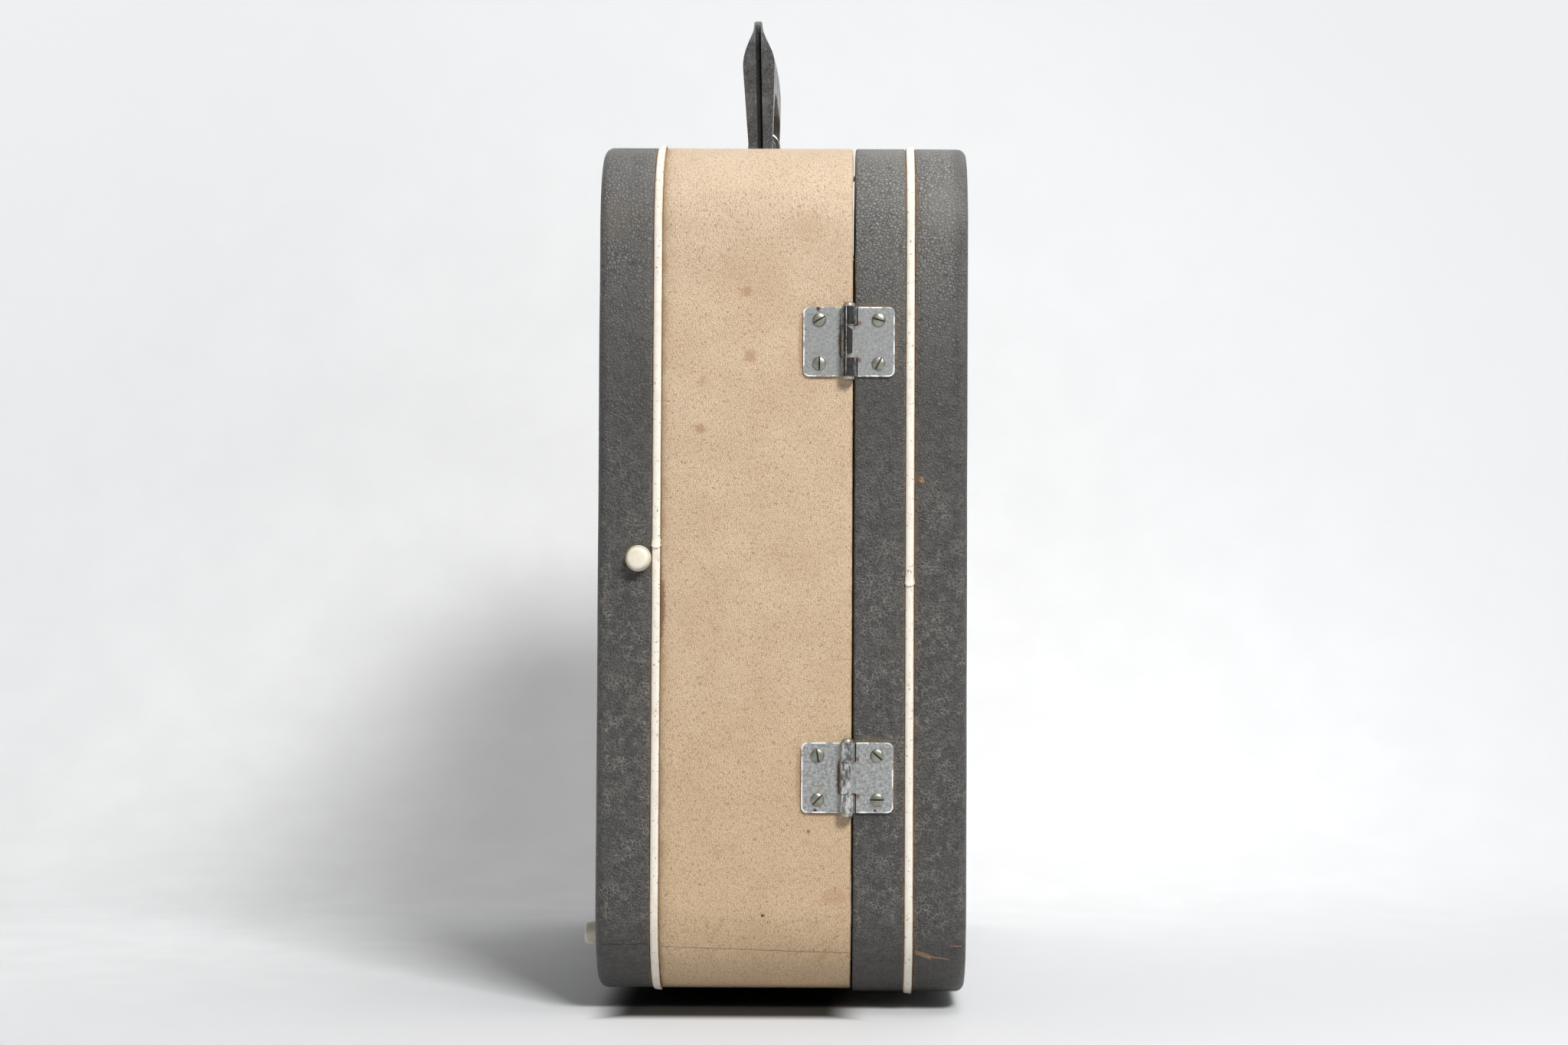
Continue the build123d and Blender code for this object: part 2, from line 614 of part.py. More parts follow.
def arch(depth, half_width, foot=HANDLE_FOOT):
    """A slab as deep as the handle's outline, seen along X, drawn in by some depth."""
    half_length = HANDLE_LENGTH / 2 - depth
    low = (HANDLE_X - half_width, MIDDLE_Y - half_length, TOP_Z + foot)
    high = (HANDLE_X + half_width, MIDDLE_Y + half_length, TOP_Z + HANDLE_TOP - depth)
    slab = box_between(low, high)
    upper = slab.edges().filter_by(Axis.X).sort_by(Axis.Z)[2:]
    return fillet(upper, ARCH_RADIUS - depth)


def finger_gap():
    """The room under the grip and between the legs."""
    half_length = HANDLE_LENGTH / 2 - LEG_THICKNESS
    low = (HANDLE_X - HANDLE_REACH, MIDDLE_Y - half_length, TOP_Z)
    high = (HANDLE_X + HANDLE_REACH, MIDDLE_Y + half_length, TOP_Z + GRIP_UNDERSIDE)
    gap = box_between(low, high)
    return fillet(gap.edges().filter_by(Axis.X).sort_by(Axis.Z)[2:], ARCH_RADIUS)


def peg(end, spare=0.0):
    """A steel peg moulded into a leg, which turns in the loop beside it."""
    start = (HANDLE_X, leg_face_y(end) - end * (GROOVE_DEPTH - spare), PIVOT_Z)
    length = LEG_THICKNESS - GROOVE_DEPTH + LOOP_LEG_GAP + LOOP_WIDTH + PEG_PAST_LOOP
    if spare:
        return rod(start, (0, -end, 0), PEG_RADIUS + spare, length + spare)
    return domed_rod(start, (0, -end, 0), PEG_RADIUS, length, PEG_ROUNDING)


def lean(solid):
    """Turn a handle piece about its pegs, the way the handle stands."""
    axis = Axis((HANDLE_X, MIDDLE_Y, PIVOT_Z), (0, 1, 0))
    return solid.rotate(axis, -HANDLE_LEAN)


def groove_cover():
    """What is moulded over the strip along the top of the handle, between the ends of the groove."""
    half_length = HANDLE_LENGTH / 2 - GROOVE_END
    low = (HANDLE_X - HANDLE_REACH, MIDDLE_Y - half_length, TOP_Z + GROOVE_END_HEIGHT)
    high = (HANDLE_X + HANDLE_REACH, MIDDLE_Y + half_length, TOP_Z + HANDLE_TOP + HANDLE_REACH)
    return box_between(low, high) - arch(GROOVE_DEPTH - CORE_THICKNESS - HOLE_CLEARANCE, HANDLE_REACH, foot=-1)


def handle_grip():
    """The moulded handle: a swelling grip on two legs, grooved up the outer face of each leg."""
    sections = [
        handle_section(MIDDLE_Y + HANDLE_LENGTH / 2, END_SHOULDER, END_FLANK),
        handle_section(MIDDLE_Y, MIDDLE_SHOULDER, MIDDLE_FLANK),
        handle_section(MIDDLE_Y - HANDLE_LENGTH / 2, END_SHOULDER, END_FLANK),
    ]
    grip = loft(sections) & arch(0, HANDLE_REACH)
    grip = grip - finger_gap()
    groove = arch(-2, GROOVE_WIDTH / 2, foot=0) - arch(GROOVE_DEPTH, HANDLE_REACH, foot=-1)
    groove = groove - groove_cover()
    return lean(without(grip, [groove, peg(-1, HOLE_CLEARANCE), peg(1, HOLE_CLEARANCE)]))


def handle_core():
    """The steel strip at the bottom of the grooves, moulded in along the top, that carries the load."""
    outer = arch(GROOVE_DEPTH - CORE_THICKNESS, GROOVE_WIDTH / 2 - HOLE_CLEARANCE)
    return lean(outer - arch(GROOVE_DEPTH, HANDLE_REACH, foot=-1))


# ---- latches ----
def latch_centres():
    return {"lower": HARDWARE_Z - LATCH_SPACING / 2, "upper": HARDWARE_Z + LATCH_SPACING / 2}


def latch_box(x, y, z):
    """A box on the latch side: X spans, rises above the cloth and Z spans, each a pair of numbers."""
    return box_between((x[0], LATCH_SIDE_Y + y[0], z[0]), (x[1], LATCH_SIDE_Y + y[1], z[1]))


LATCH_X = (BODY_RIM_X - LATCH_FROM_RIM - LATCH_LENGTH, BODY_RIM_X - LATCH_FROM_RIM)
TONGUE_TIP_X = LID_RIM_X - TONGUE_REACH
NOTCH_X = (TONGUE_TIP_X + NOTCH_FROM_TIP, TONGUE_TIP_X + NOTCH_FROM_TIP + NOTCH_LENGTH)
THUMB_X = (NOTCH_X[0] + NOTCH_X[1]) / 2
OUTWARD_LATCH_SIDE = (0, 1, 0)


def latch_rivet_places():
    """Where the rivets of both latch cases are seated."""
    places = []
    for z in latch_centres().values():
        for side in (-1, 1):
            for x in (LATCH_X[0] + LATCH_RIVET_INSET, LATCH_X[1] - LATCH_RIVET_INSET):
                rise = LATCH_SIDE_Y + LATCH_SHEET
                places.append((x, rise, z + side * (LATCH_SPAN / 2 + LATCH_FLANGE / 2)))
    return places


def latch_rivets(spare=0.0):
    return [rivet(place, OUTWARD_LATCH_SIDE, spare) for place in latch_rivet_places()]


def latch_case(z):
    """A pressed cover over the slide, with a flange at each end and a slot for the thumb piece."""
    half = LATCH_SPAN / 2
    outer = latch_box(LATCH_X, (0, LATCH_RISE), (z - half, z + half))
    outer = fillet(outer.edges().filter_by(Axis.X).sort_by(Axis.Y)[2:], LATCH_CORNER)
    inner_x = (LATCH_X[0] + LATCH_SHEET, LATCH_X[1] - LATCH_SHEET)
    inner_z = (z - half + LATCH_SHEET, z + half - LATCH_SHEET)
    inner = latch_box(inner_x, (-1, LATCH_RISE - LATCH_SHEET), inner_z)
    flange = latch_box(LATCH_X, (0, LATCH_SHEET), (z - half - LATCH_FLANGE, z + half + LATCH_FLANGE))
    flange = fillet(flange.edges().filter_by(Axis.Y), LATCH_FLANGE_CORNER)
    slot_x = (THUMB_X - NECK_RADIUS - LATCH_PLAY, THUMB_X + NECK_RADIUS + LATCH_PLAY)
    slot_reach = LATCH_TRAVEL / 2 + NECK_RADIUS + LATCH_PLAY
    thumb_slot = latch_box(slot_x, (0, LATCH_RISE + 1), (z - slot_reach, z + slot_reach))
    mouth_rise = (TONGUE_LIFT - LATCH_PLAY, TONGUE_LIFT + STRIKE_THICKNESS + LATCH_PLAY)
    mouth_reach = TONGUE_HALF_WIDTH + LATCH_PLAY
    mouth = latch_box((THUMB_X, LATCH_X[1] + 1), mouth_rise, (z - mouth_reach, z + mouth_reach))
    return without(outer + flange, [inner, thumb_slot, mouth] + latch_rivets(HOLE_CLEARANCE * 2))


def latch_slide(z):
    """The slide, drawn back: a plate over the tongue, a narrow dog below its notch, a thumb piece.

    Drawn back is the low end of its travel. Pushed up, the dog enters the notch and locks the tongue.
    """
    rest_z = z - LATCH_TRAVEL / 2
    under = TONGUE_LIFT + STRIKE_THICKNESS + LATCH_PLAY
    over = LATCH_RISE - LATCH_SHEET - LATCH_PLAY / 2
    dog_top = z - TONGUE_HALF_WIDTH - LATCH_PLAY
    plate_x = (THUMB_X - SLIDE_HALF_WIDTH, THUMB_X + SLIDE_HALF_WIDTH)
    plate = latch_box(plate_x, (under, over), (dog_top, rest_z + SLIDE_HALF_LENGTH))
    dog_x = (NOTCH_X[0] + LATCH_PLAY, NOTCH_X[1] - LATCH_PLAY)
    dog = latch_box(dog_x, (TONGUE_LIFT, over), (rest_z - SLIDE_HALF_LENGTH, dog_top))
    cap_foot = LATCH_RISE + LATCH_PLAY
    neck = rod((THUMB_X, LATCH_SIDE_Y + under, rest_z), OUTWARD_LATCH_SIDE, NECK_RADIUS, cap_foot - under)
    cap_z = (rest_z - THUMB_HALF_LENGTH, rest_z + THUMB_HALF_LENGTH)
    cap = latch_box(plate_x, (cap_foot, LATCH_TOTAL_RISE), cap_z)
    cap = fillet(cap.edges().filter_by(Axis.Y), THUMB_CORNER)
    cap = fillet(cap.faces().sort_by(Axis.Y)[-1].edges(), THUMB_ROUNDING)
    return plate + dog + neck + cap


def strike_rivet_places():
    """Where the rivets of both strikes are seated."""
    rise = LATCH_SIDE_Y + STRIKE_THICKNESS
    x = LID_RIM_X + STRIKE_LENGTH - STRIKE_RIVET_INSET
    spread = STRIKE_RIVET_SPREAD
    return [(x, rise, z + side * spread) for z in latch_centres().values() for side in (-1, 1)]


def strike_rivets(spare=0.0):
    return [rivet(place, OUTWARD_LATCH_SIDE, spare) for place in strike_rivet_places()]


def strike(z):
    """The plate on the lid, with a notched tongue that reaches into the latch case."""
    near_x = LID_RIM_X + STRIKE_FROM_RIM
    plate_x = (near_x, LID_RIM_X + STRIKE_LENGTH)
    plate = latch_box(plate_x, (0, STRIKE_THICKNESS), (z - STRIKE_HALF_WIDTH, z + STRIKE_HALF_WIDTH))
    plate = fillet(plate.edges().filter_by(Axis.Y).sort_by(Axis.X)[2:], STRIKE_CORNER)
    high = TONGUE_LIFT + STRIKE_THICKNESS
    tongue_z = (z - TONGUE_HALF_WIDTH, z + TONGUE_HALF_WIDTH)
    riser = latch_box((near_x, near_x + STRIKE_THICKNESS), (0, high), tongue_z)
    tongue = latch_box((TONGUE_TIP_X, near_x + STRIKE_THICKNESS), (TONGUE_LIFT, high), tongue_z)
    tongue = fillet(tongue.edges().filter_by(Axis.Y).sort_by(Axis.X)[:2], TONGUE_CORNER)
    notch = latch_box(NOTCH_X, (0, 2 * high), (tongue_z[0] - 1, tongue_z[0] + NOTCH_DEPTH + LATCH_PLAY))
    return without(plate + riser + tongue, [notch] + strike_rivets(HOLE_CLEARANCE * 2))


# ---- rim and inside fittings ----
def tongue_strip(toward_y):
    """A plywood strip inside a side board of the body, which keeps the closed lid in line."""
    inner = (HINGE_SIDE_Y + WALL if toward_y < 0 else LATCH_SIDE_Y - WALL) - toward_y * LINING
    other = inner - toward_y * TONGUE_STRIP_THICKNESS
    low = (BODY_RIM_X - TONGUE_STRIP_WIDTH, min(inner, other), MIDDLE_Z - TONGUE_STRIP_LENGTH / 2)
    high = (BODY_RIM_X + TONGUE_STRIP_PROUD, max(inner, other), MIDDLE_Z + TONGUE_STRIP_LENGTH / 2)
    strip = box_between(low, high)
    return chamfer(strip.faces().sort_by(Axis.X)[-1].edges().filter_by(Axis.Z), TONGUE_STRIP_CHAMFER)


def rim_tack(toward_y, toward_z, spare=0.0):
    """A domed tack in the rim of a corner post, which holds the closed rims apart."""
    y = (LATCH_SIDE_Y if toward_y > 0 else HINGE_SIDE_Y) - toward_y * TACK_INSET
    z = (TOP_Z if toward_z > 0 else BOTTOM_Z) - toward_z * TACK_INSET
    place = (BODY_RIM_X, y, z)
    shank = rod(place, (-1, 0, 0), TACK_SHANK_RADIUS + spare, TACK_LENGTH + spare)
    if spare:
        return shank
    return domed_rod(place, (1, 0, 0), TACK_HEAD_RADIUS, TACK_PROUD, TACK_PROUD * 0.7) + shank


def rim_tacks(spare=0.0):
    return [rim_tack(y, z, spare) for y in (-1, 1) for z in (-1, 1)]


FLOOR_X = BODY_FACE_X + FLOOR


def rest_places():
    return [(MIDDLE_Y + y * REST_SPREAD_Y, MIDDLE_Z + z * REST_SPREAD_Z) for y in (-1, 1) for z in (-1, 1)]


def rest_block(y, z):
    """A wooden block on the body's floor that carries one foot of the machine."""
    half = REST_BLOCK / 2
    block = box_between((FLOOR_X, y - half, z - half), (FLOOR_X + REST_BLOCK_HEIGHT, y + half, z + half))
    return chamfer(block.faces().sort_by(Axis.X)[-1].edges(), REST_BLOCK_CHAMFER)


def rest_pad(y, z):
    """A rubber pad on a rest block."""
    return domed_rod((FLOOR_X + REST_BLOCK_HEIGHT, y, z), (1, 0, 0), PAD_RADIUS, PAD_HEIGHT, PAD_ROUNDING)


CLIP_X = FLOOR_X + CLIP_BLOCK_SIZE[0]


def clip_pivot(toward_y):
    """Where a hold-down clip is pivoted on its block."""
    inner = (HINGE_SIDE_Y + WALL if toward_y < 0 else LATCH_SIDE_Y - WALL) - toward_y * LINING
    y = inner - toward_y * (TONGUE_STRIP_THICKNESS + CLIP_BLOCK_FROM_STRIP + CLIP_BLOCK_SIZE[1] / 2)
    return (CLIP_X, y, MIDDLE_Z + CLIP_BLOCK_SIZE[2] / 2 - CLIP_PIVOT_FROM_END)


def clip_block(toward_y):
    """A wooden block on the body's floor that carries a hold-down clip."""
    x, y, z = clip_pivot(toward_y)
    half = CLIP_BLOCK_SIZE[1] / 2
    low = (FLOOR_X, y - half, MIDDLE_Z - CLIP_BLOCK_SIZE[2] / 2)
    high = (x, y + half, MIDDLE_Z + CLIP_BLOCK_SIZE[2] / 2)
    return box_between(low, high) - clip_screw(toward_y, HOLE_CLEARANCE)


def hold_down_clip(toward_y):
    """A steel clip that hangs from its pivot and turns up over the machine's frame."""
    x, y, z = clip_pivot(toward_y)
    plane = Plane(origin=(x + CLIP_GAP, y, z), x_dir=(0, 1, 0), z_dir=(1, 0, 0))
    span = CLIP_LENGTH - 2 * CLIP_HALF_WIDTH
    outline = Pos(0, -span / 2) * SlotOverall(CLIP_LENGTH, 2 * CLIP_HALF_WIDTH, rotation=90)
    clip = extrude(plane * (outline - Circle(CLIP_PIVOT_RADIUS + PIN_FIT)), CLIP_THICKNESS)
    knob_foot = (x + CLIP_GAP + CLIP_THICKNESS, y, z - span)
    return clip + domed_rod(knob_foot, (1, 0, 0), CLIP_KNOB_RADIUS, CLIP_KNOB_HEIGHT, CLIP_KNOB_ROUNDING)


def clip_screw(toward_y, spare=0.0):
    """The shouldered screw that a clip turns on."""
    x, y, z = clip_pivot(toward_y)
    shank = rod((x, y, z), (-1, 0, 0), SCREW_SHANK_RADIUS + spare, CLIP_SCREW_LENGTH + spare)
    if spare:
        return shank
    shoulder_length = CLIP_THICKNESS + 2 * CLIP_GAP
    shoulder = rod((x, y, z), (1, 0, 0), CLIP_PIVOT_RADIUS, shoulder_length)
    seat = (x + shoulder_length, y, z)
    head_top = x + shoulder_length + CLIP_SCREW_HEAD_HEIGHT
    head = domed_rod(
        seat, (1, 0, 0), CLIP_SCREW_HEAD_RADIUS, CLIP_SCREW_HEAD_HEIGHT, CLIP_SCREW_HEAD_HEIGHT / 2
    )
    width, depth = CLIP_SCREW_SLOT
    reach = CLIP_SCREW_HEAD_RADIUS + 1
    slot = box_between((head_top - depth, y - reach, z - width / 2), (head_top + 1, y + reach, z + width / 2))
    return shank + shoulder + (head - slot)


# ---- the whole case ----
def shell_parts(shell, name, fasteners, lining_end):
    """The wood, cloth, piping and lining of one shell, drilled for what is fastened to it."""
    parts = {f"{name}_large_panel": large_panel(shell)}
    for side, board in side_boards(shell).items():
        parts[f"{name}_{side}_board"] = board
    parts[f"{name}_corner_posts"] = group(corner_posts(shell))
    parts[f"{name}_face_cover"] = face_cover(shell)
    parts[f"{name}_rim_cover"] = rim_cover(shell)
    parts[f"{name}_piping"] = piping(shell)
    parts[f"{name}_lining"] = lining(shell, lining_end)
    for part, tools in fasteners.items():
        parts[f"{name}_{part}"] = without(parts[f"{name}_{part}"], tools)
    return parts


def stud_parts():
    parts = {}
    nails = []
    for name, places in stud_places().items():
        parts[name] = group(stud(place, direction) for place, direction in places)
        nails.extend(nail(place, direction) for place, direction in places)
    parts["stud_nails"] = group(nails)
    return parts


def nail_holes(name):
    return [nail(place, direction, HOLE_CLEARANCE) for place, direction in stud_places()[name]]


def body_parts():
    spare = HOLE_CLEARANCE
    screws, rivets, slots = hinge_screws(-1, spare), latch_rivets(spare), loop_leg_slots(spare)
    fasteners = {
        "large_panel": nail_holes("lying_studs"),
        "hinge_side_board": screws + nail_holes("side_stud"),
        "latch_side_board": rivets,
        "top_board": slots,
        "bottom_board": nail_holes("bottom_studs"),
        "face_cover": nail_holes("lying_studs") + nail_holes("side_stud") + nail_holes("bottom_studs"),
        "rim_cover": screws + rivets + slots + nail_holes("bottom_studs"),
        "lining": slots,
    }
    parts = shell_parts(BODY, "body", fasteners, BODY_DEPTH - 1.0)
    parts["body_corner_posts"] = group(without(post, rim_tacks(spare)) for post in corner_posts(BODY))
    parts.update(stud_parts())
    for name, z in hinge_centres().items():
        parts[f"{name}_body_hinge_leaf"] = body_leaf(z)
    parts["hinge_pins"] = group(hinge_pin(z) for z in hinge_centres().values())
    parts["body_hinge_screws"] = group(hinge_screws(-1))
    for name, z in latch_centres().items():
        parts[f"{name}_latch_case"] = latch_case(z)
    parts["latch_rivets"] = group(latch_rivets())
    parts["front_handle_loop"] = handle_loop(-1)
    parts["rear_handle_loop"] = handle_loop(1)
    parts["loop_backing_plates"] = group(backing_plate(end) for end in (-1, 1))
    parts["rim_tongue_strips"] = group(tongue_strip(y) for y in (-1, 1))
    parts["rim_tacks"] = group(rim_tacks())
    parts["machine_rest_blocks"] = group(rest_block(y, z) for y, z in rest_places())
    parts["machine_rest_pads"] = group(rest_pad(y, z) for y, z in rest_places())
    parts["clip_blocks"] = group(clip_block(y) for y in (-1, 1))
    parts["clip_screws"] = group(clip_screw(y) for y in (-1, 1))
    return parts


def lid_parts():
    spare = HOLE_CLEARANCE
    screws, rivets = hinge_screws(1, spare), strike_rivets(spare)
    fasteners = {
        "hinge_side_board": screws,
        "latch_side_board": rivets,
        "rim_cover": screws + rivets,
    }
    parts = shell_parts(LID, "lid", fasteners, LID_DEPTH - LINING_SETBACK)
    for name, z in hinge_centres().items():
        parts[f"{name}_lid_hinge_leaf"] = lid_leaf(z)
    parts["lid_hinge_screws"] = group(hinge_screws(1))
    for name, z in latch_centres().items():
        parts[f"{name}_strike"] = strike(z)
    parts["strike_rivets"] = group(strike_rivets())
    return parts


def moving_parts():
    """The handle, the latch slides and the hold-down clips."""
    parts = {"handle_grip": handle_grip(), "handle_core": handle_core()}
    parts["handle_pegs"] = group(lean(peg(end)) for end in (-1, 1))
    for name, z in latch_centres().items():
        parts[f"{name}_latch_slide"] = latch_slide(z)
    parts["hinge_side_clip"] = hold_down_clip(-1)
    parts["latch_side_clip"] = hold_down_clip(1)
    return parts


os.makedirs("parts", exist_ok=True)
for node, shape in {**body_parts(), **lid_parts(), **moving_parts()}.items():
    export_step(shape, f"parts/{node}.step")
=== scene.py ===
from math import radians

import bmesh
import bpy
from mathutils import Matrix, Vector


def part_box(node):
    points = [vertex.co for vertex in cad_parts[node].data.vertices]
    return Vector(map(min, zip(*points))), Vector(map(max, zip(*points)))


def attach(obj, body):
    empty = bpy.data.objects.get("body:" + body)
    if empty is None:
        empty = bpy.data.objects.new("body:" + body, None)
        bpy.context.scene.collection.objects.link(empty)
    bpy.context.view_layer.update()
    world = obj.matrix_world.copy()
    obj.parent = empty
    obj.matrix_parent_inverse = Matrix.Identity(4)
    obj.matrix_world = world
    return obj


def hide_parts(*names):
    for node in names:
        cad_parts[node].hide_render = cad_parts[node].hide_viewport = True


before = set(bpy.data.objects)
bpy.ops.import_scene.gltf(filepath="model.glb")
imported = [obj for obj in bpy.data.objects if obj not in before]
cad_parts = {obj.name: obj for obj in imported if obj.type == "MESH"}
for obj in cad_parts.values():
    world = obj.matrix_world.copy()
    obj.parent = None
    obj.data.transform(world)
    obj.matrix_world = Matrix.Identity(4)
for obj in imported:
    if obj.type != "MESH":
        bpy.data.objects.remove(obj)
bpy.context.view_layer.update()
mm = 0.001  # sizes are written in millimetres, times this


# ---- camera ----
# A long lens a metre and a half in front of the hinge side, level with the middle of the case and
# tipped up a little.
CAMERA_PLACE = (0.0295, -1.4738, 0.1804)
TIPPED_UP = 0.039
ROLLED = 0.0041
FRAME_WIDTH = 2048

camera_data = bpy.data.cameras.new("camera")
camera_data.lens = 73.4
camera_data.sensor_width = 36.0
camera_data.shift_x = -82.4 / FRAME_WIDTH
camera_data.shift_y = -103.8 / FRAME_WIDTH
camera = bpy.data.objects.new("camera", camera_data)
bpy.context.scene.collection.objects.link(camera)
camera.matrix_world = (
    Matrix.Translation(CAMERA_PLACE)
    @ Matrix.Rotation(radians(90) + TIPPED_UP, 4, "X")
    @ Matrix.Rotation(ROLLED, 4, "Z")
)
bpy.context.scene.camera = camera
bpy.context.scene.view_settings.view_transform = "Standard"


# ---- stage and light ----
# A sheet of pale paper that lies on a table and curves up behind the case. It is matt, and it
# catches the shadow. Away from the case it shows at one even white.
PAPER_SIZE = 6.0
PAPER_BACK = 0.48  # how far behind the middle of the case the paper stands up
PAPER_HEIGHT = 3.0
PAPER_CURL = 0.26
PAPER_TONE = (0.83, 0.835, 0.84)
PAPER_SCUFFED = (0.86, 0.865, 0.87)
PAPER_SHADE_NEAR_RIGHT = (0.66, 0.665, 0.675)
PAPER_SHADOW_UNDER_CASE = (0.022, 0.018, 0.015)
EVEN_WHITE = (0.86, 0.87, 0.88, 1)
ROOM_WHITE = 0.87


def feed(node, **values):
    """Give a node's inputs, named or numbered as i0, plain values or the outputs of other nodes."""
    for name, value in values.items():
        socket = node.inputs[int(name[1:])] if name[1:].isdigit() else node.inputs[name.replace("_", " ")]
        if isinstance(value, bpy.types.NodeSocket):
            node.id_data.links.new(value, socket)
        else:
            socket.default_value = value


def add(tree, kind, settings=None, **values):
    """A new node with its settings and its inputs."""
    made = tree.nodes.new(kind)
    for name, value in (settings or {}).items():
        setattr(made, name, value)
    feed(made, **values)
    return made


def between(tree, factor, first, second):
    """The first colour where the factor is 0 and the second where it is 1."""
    ends = [(*end, 1) if isinstance(end, tuple) else end for end in (first, second)]
    return add(tree, "ShaderNodeMix", {"data_type": "RGBA"}, i0=factor, i6=ends[0], i7=ends[1]).outputs[2]


def ramp(tree, value, low, high, start=0.0, end=1.0):
    """A value brought smoothly from one span to another."""
    limits = {"From_Min": low, "From_Max": high, "To_Min": start, "To_Max": end}
    made = add(tree, "ShaderNodeMapRange", {"interpolation_type": "SMOOTHSTEP"}, Value=value, **limits)
    return made.outputs["Result"]


def sums(tree, operation, first, second=0.0):
    return add(tree, "ShaderNodeMath", {"operation": operation}, i0=first, i1=second).outputs[0]


def product(tree, first, *others):
    """The product of several masks."""
    for other in others:
        first = sums(tree, "MULTIPLY", first, other)
    return first


def vectors(tree, operation, first, second=(0, 0, 0)):
    return add(tree, "ShaderNodeVectorMath", {"operation": operation}, i0=first, i1=second).outputs[0]


def length(tree, vector):
    return add(tree, "ShaderNodeVectorMath", {"operation": "LENGTH"}, i0=vector).outputs["Value"]


def object_axes(tree, place):
    """The three coordinates of a place on a piece."""
    return add(tree, "ShaderNodeSeparateXYZ", Vector=place).outputs


def noise(tree, place, scale, detail=2.0, roughness=0.5):
    made = add(tree, "ShaderNodeTexNoise", Vector=place, Scale=scale, Detail=detail, Roughness=roughness)
    return made.outputs["Fac"]


def material_named(name, roughness=0.5):
    """A new material, its node tree, its shader and the coordinates of the piece."""
    material = bpy.data.materials.new(name)
    material.use_nodes = True
    tree = material.node_tree
    shader = tree.nodes["Principled BSDF"]
    feed(shader, Roughness=roughness)
    place = add(tree, "ShaderNodeTexCoord").outputs["Object"]
    return material, tree, shader, place


def give_relief(tree, shader, height, strength, distance):
    bump = add(tree, "ShaderNodeBump", Height=height, Strength=strength, Distance=distance)
    feed(shader, Normal=bump.outputs[0])


def choose(piece, kind, wanted):
    """In edit mode, select the vertices, edges or faces of a piece that are wanted, and no others."""
    kinds = ["verts", "edges", "faces"]
    bpy.context.tool_settings.mesh_select_mode = [kind == k for k in kinds]
    mesh = bmesh.from_edit_mesh(piece.data)
    mesh.normal_update()
    for k in kinds:
        for part in getattr(mesh, k):
            part.select = False
    for part in getattr(mesh, kind):
        if wanted(part):
            part.select_set(True)
    mesh.select_flush_mode()
    bmesh.update_edit_mesh(piece.data)


def take(*pieces):
    """In object mode, select some pieces and no others, with the first one active."""
    bpy.ops.object.select_all(action="DESELECT")
    for piece in pieces:
        piece.select_set(True)
    bpy.context.view_layer.objects.active = pieces[0]


bpy.ops.mesh.primitive_plane_add(size=PAPER_SIZE)
paper = bpy.context.active_object
paper.name = "paper"
bpy.ops.object.mode_set(mode="EDIT")
bpy.ops.transform.translate(value=(0, PAPER_BACK - PAPER_SIZE / 2, 0))
choose(paper, "edges", lambda e: all(v.co.y > PAPER_BACK - 0.1 for v in e.verts))
bpy.ops.mesh.extrude_region_move(TRANSFORM_OT_translate={"value": (0, 0, PAPER_HEIGHT)})
bpy.ops.object.mode_set(mode="OBJECT")
curl = paper.modifiers.new("curl", "BEVEL")
curl.width = PAPER_CURL
curl.segments = 16
bpy.ops.object.modifier_apply(modifier="curl")
bpy.ops.object.shade_smooth()

paper_look, tree, shader, place = material_named("pale paper", 0.75)
scuffed = ramp(tree, noise(tree, place, 28.0, 6.0), 0.35, 0.7)
colour = between(tree, scuffed, PAPER_TONE, PAPER_SCUFFED)
across, depth, _ = object_axes(tree, place)
# Towards the front and the right, where the front lamp falls strongest, the paper is painted darker: painted
# shade.
far = sums(tree, "SUBTRACT", depth, sums(tree, "MULTIPLY", across, 0.6))
colour = between(tree, ramp(tree, far, -0.3, 0.3), PAPER_SHADE_NEAR_RIGHT, colour)
feed(shader, Specular_IOR_Level=0.1)
seen = add(tree, "ShaderNodeLightPath").outputs
shown = sums(tree, "MAXIMUM", seen["Is Camera Ray"], seen["Is Glossy Ray"])
shown = sums(tree, "MAXIMUM", shown, seen["Is Transmission Ray"])
away = length(tree, vectors(tree, "ADD", place, (0.08, 0, 0)))
evenly = product(tree, shown, ramp(tree, away, 0.45, 0.85))
# Under the body, near the hinge side, a painted shadow makes the paper look nearly black to the camera,
# while it still throws light back up.
beside = sums(tree, "ABSOLUTE", sums(tree, "ADD", across, 0.018))
before = sums(tree, "ABSOLUTE", sums(tree, "ADD", depth, 0.080))
outside = sums(tree, "MAXIMUM", sums(tree, "SUBTRACT", beside, 0.050), sums(tree, "SUBTRACT", before, 0.106))
shade = product(tree, seen["Is Camera Ray"], ramp(tree, outside, -0.011, 0.008, 0.98, 0.0))
feed(shader, Base_Color=between(tree, shade, colour, PAPER_SHADOW_UNDER_CASE))
even_white = add(tree, "ShaderNodeEmission", Color=EVEN_WHITE, Strength=1.0)
front = add(tree, "ShaderNodeMixShader", i0=evenly, i1=shader.outputs[0], i2=even_white.outputs[0])
# From behind, the paper isn't seen, so that the case can be looked at from there too.
backs = add(tree, "ShaderNodeNewGeometry").outputs["Backfacing"]
behind = product(tree, seen["Is Camera Ray"], backs)
clear = add(tree, "ShaderNodeBsdfTransparent")
either = add(tree, "ShaderNodeMixShader", i0=behind, i1=front.outputs[0], i2=clear.outputs[0])
feed(tree.nodes["Material Output"], Surface=either.outputs[0])
paper.data.materials.append(paper_look)


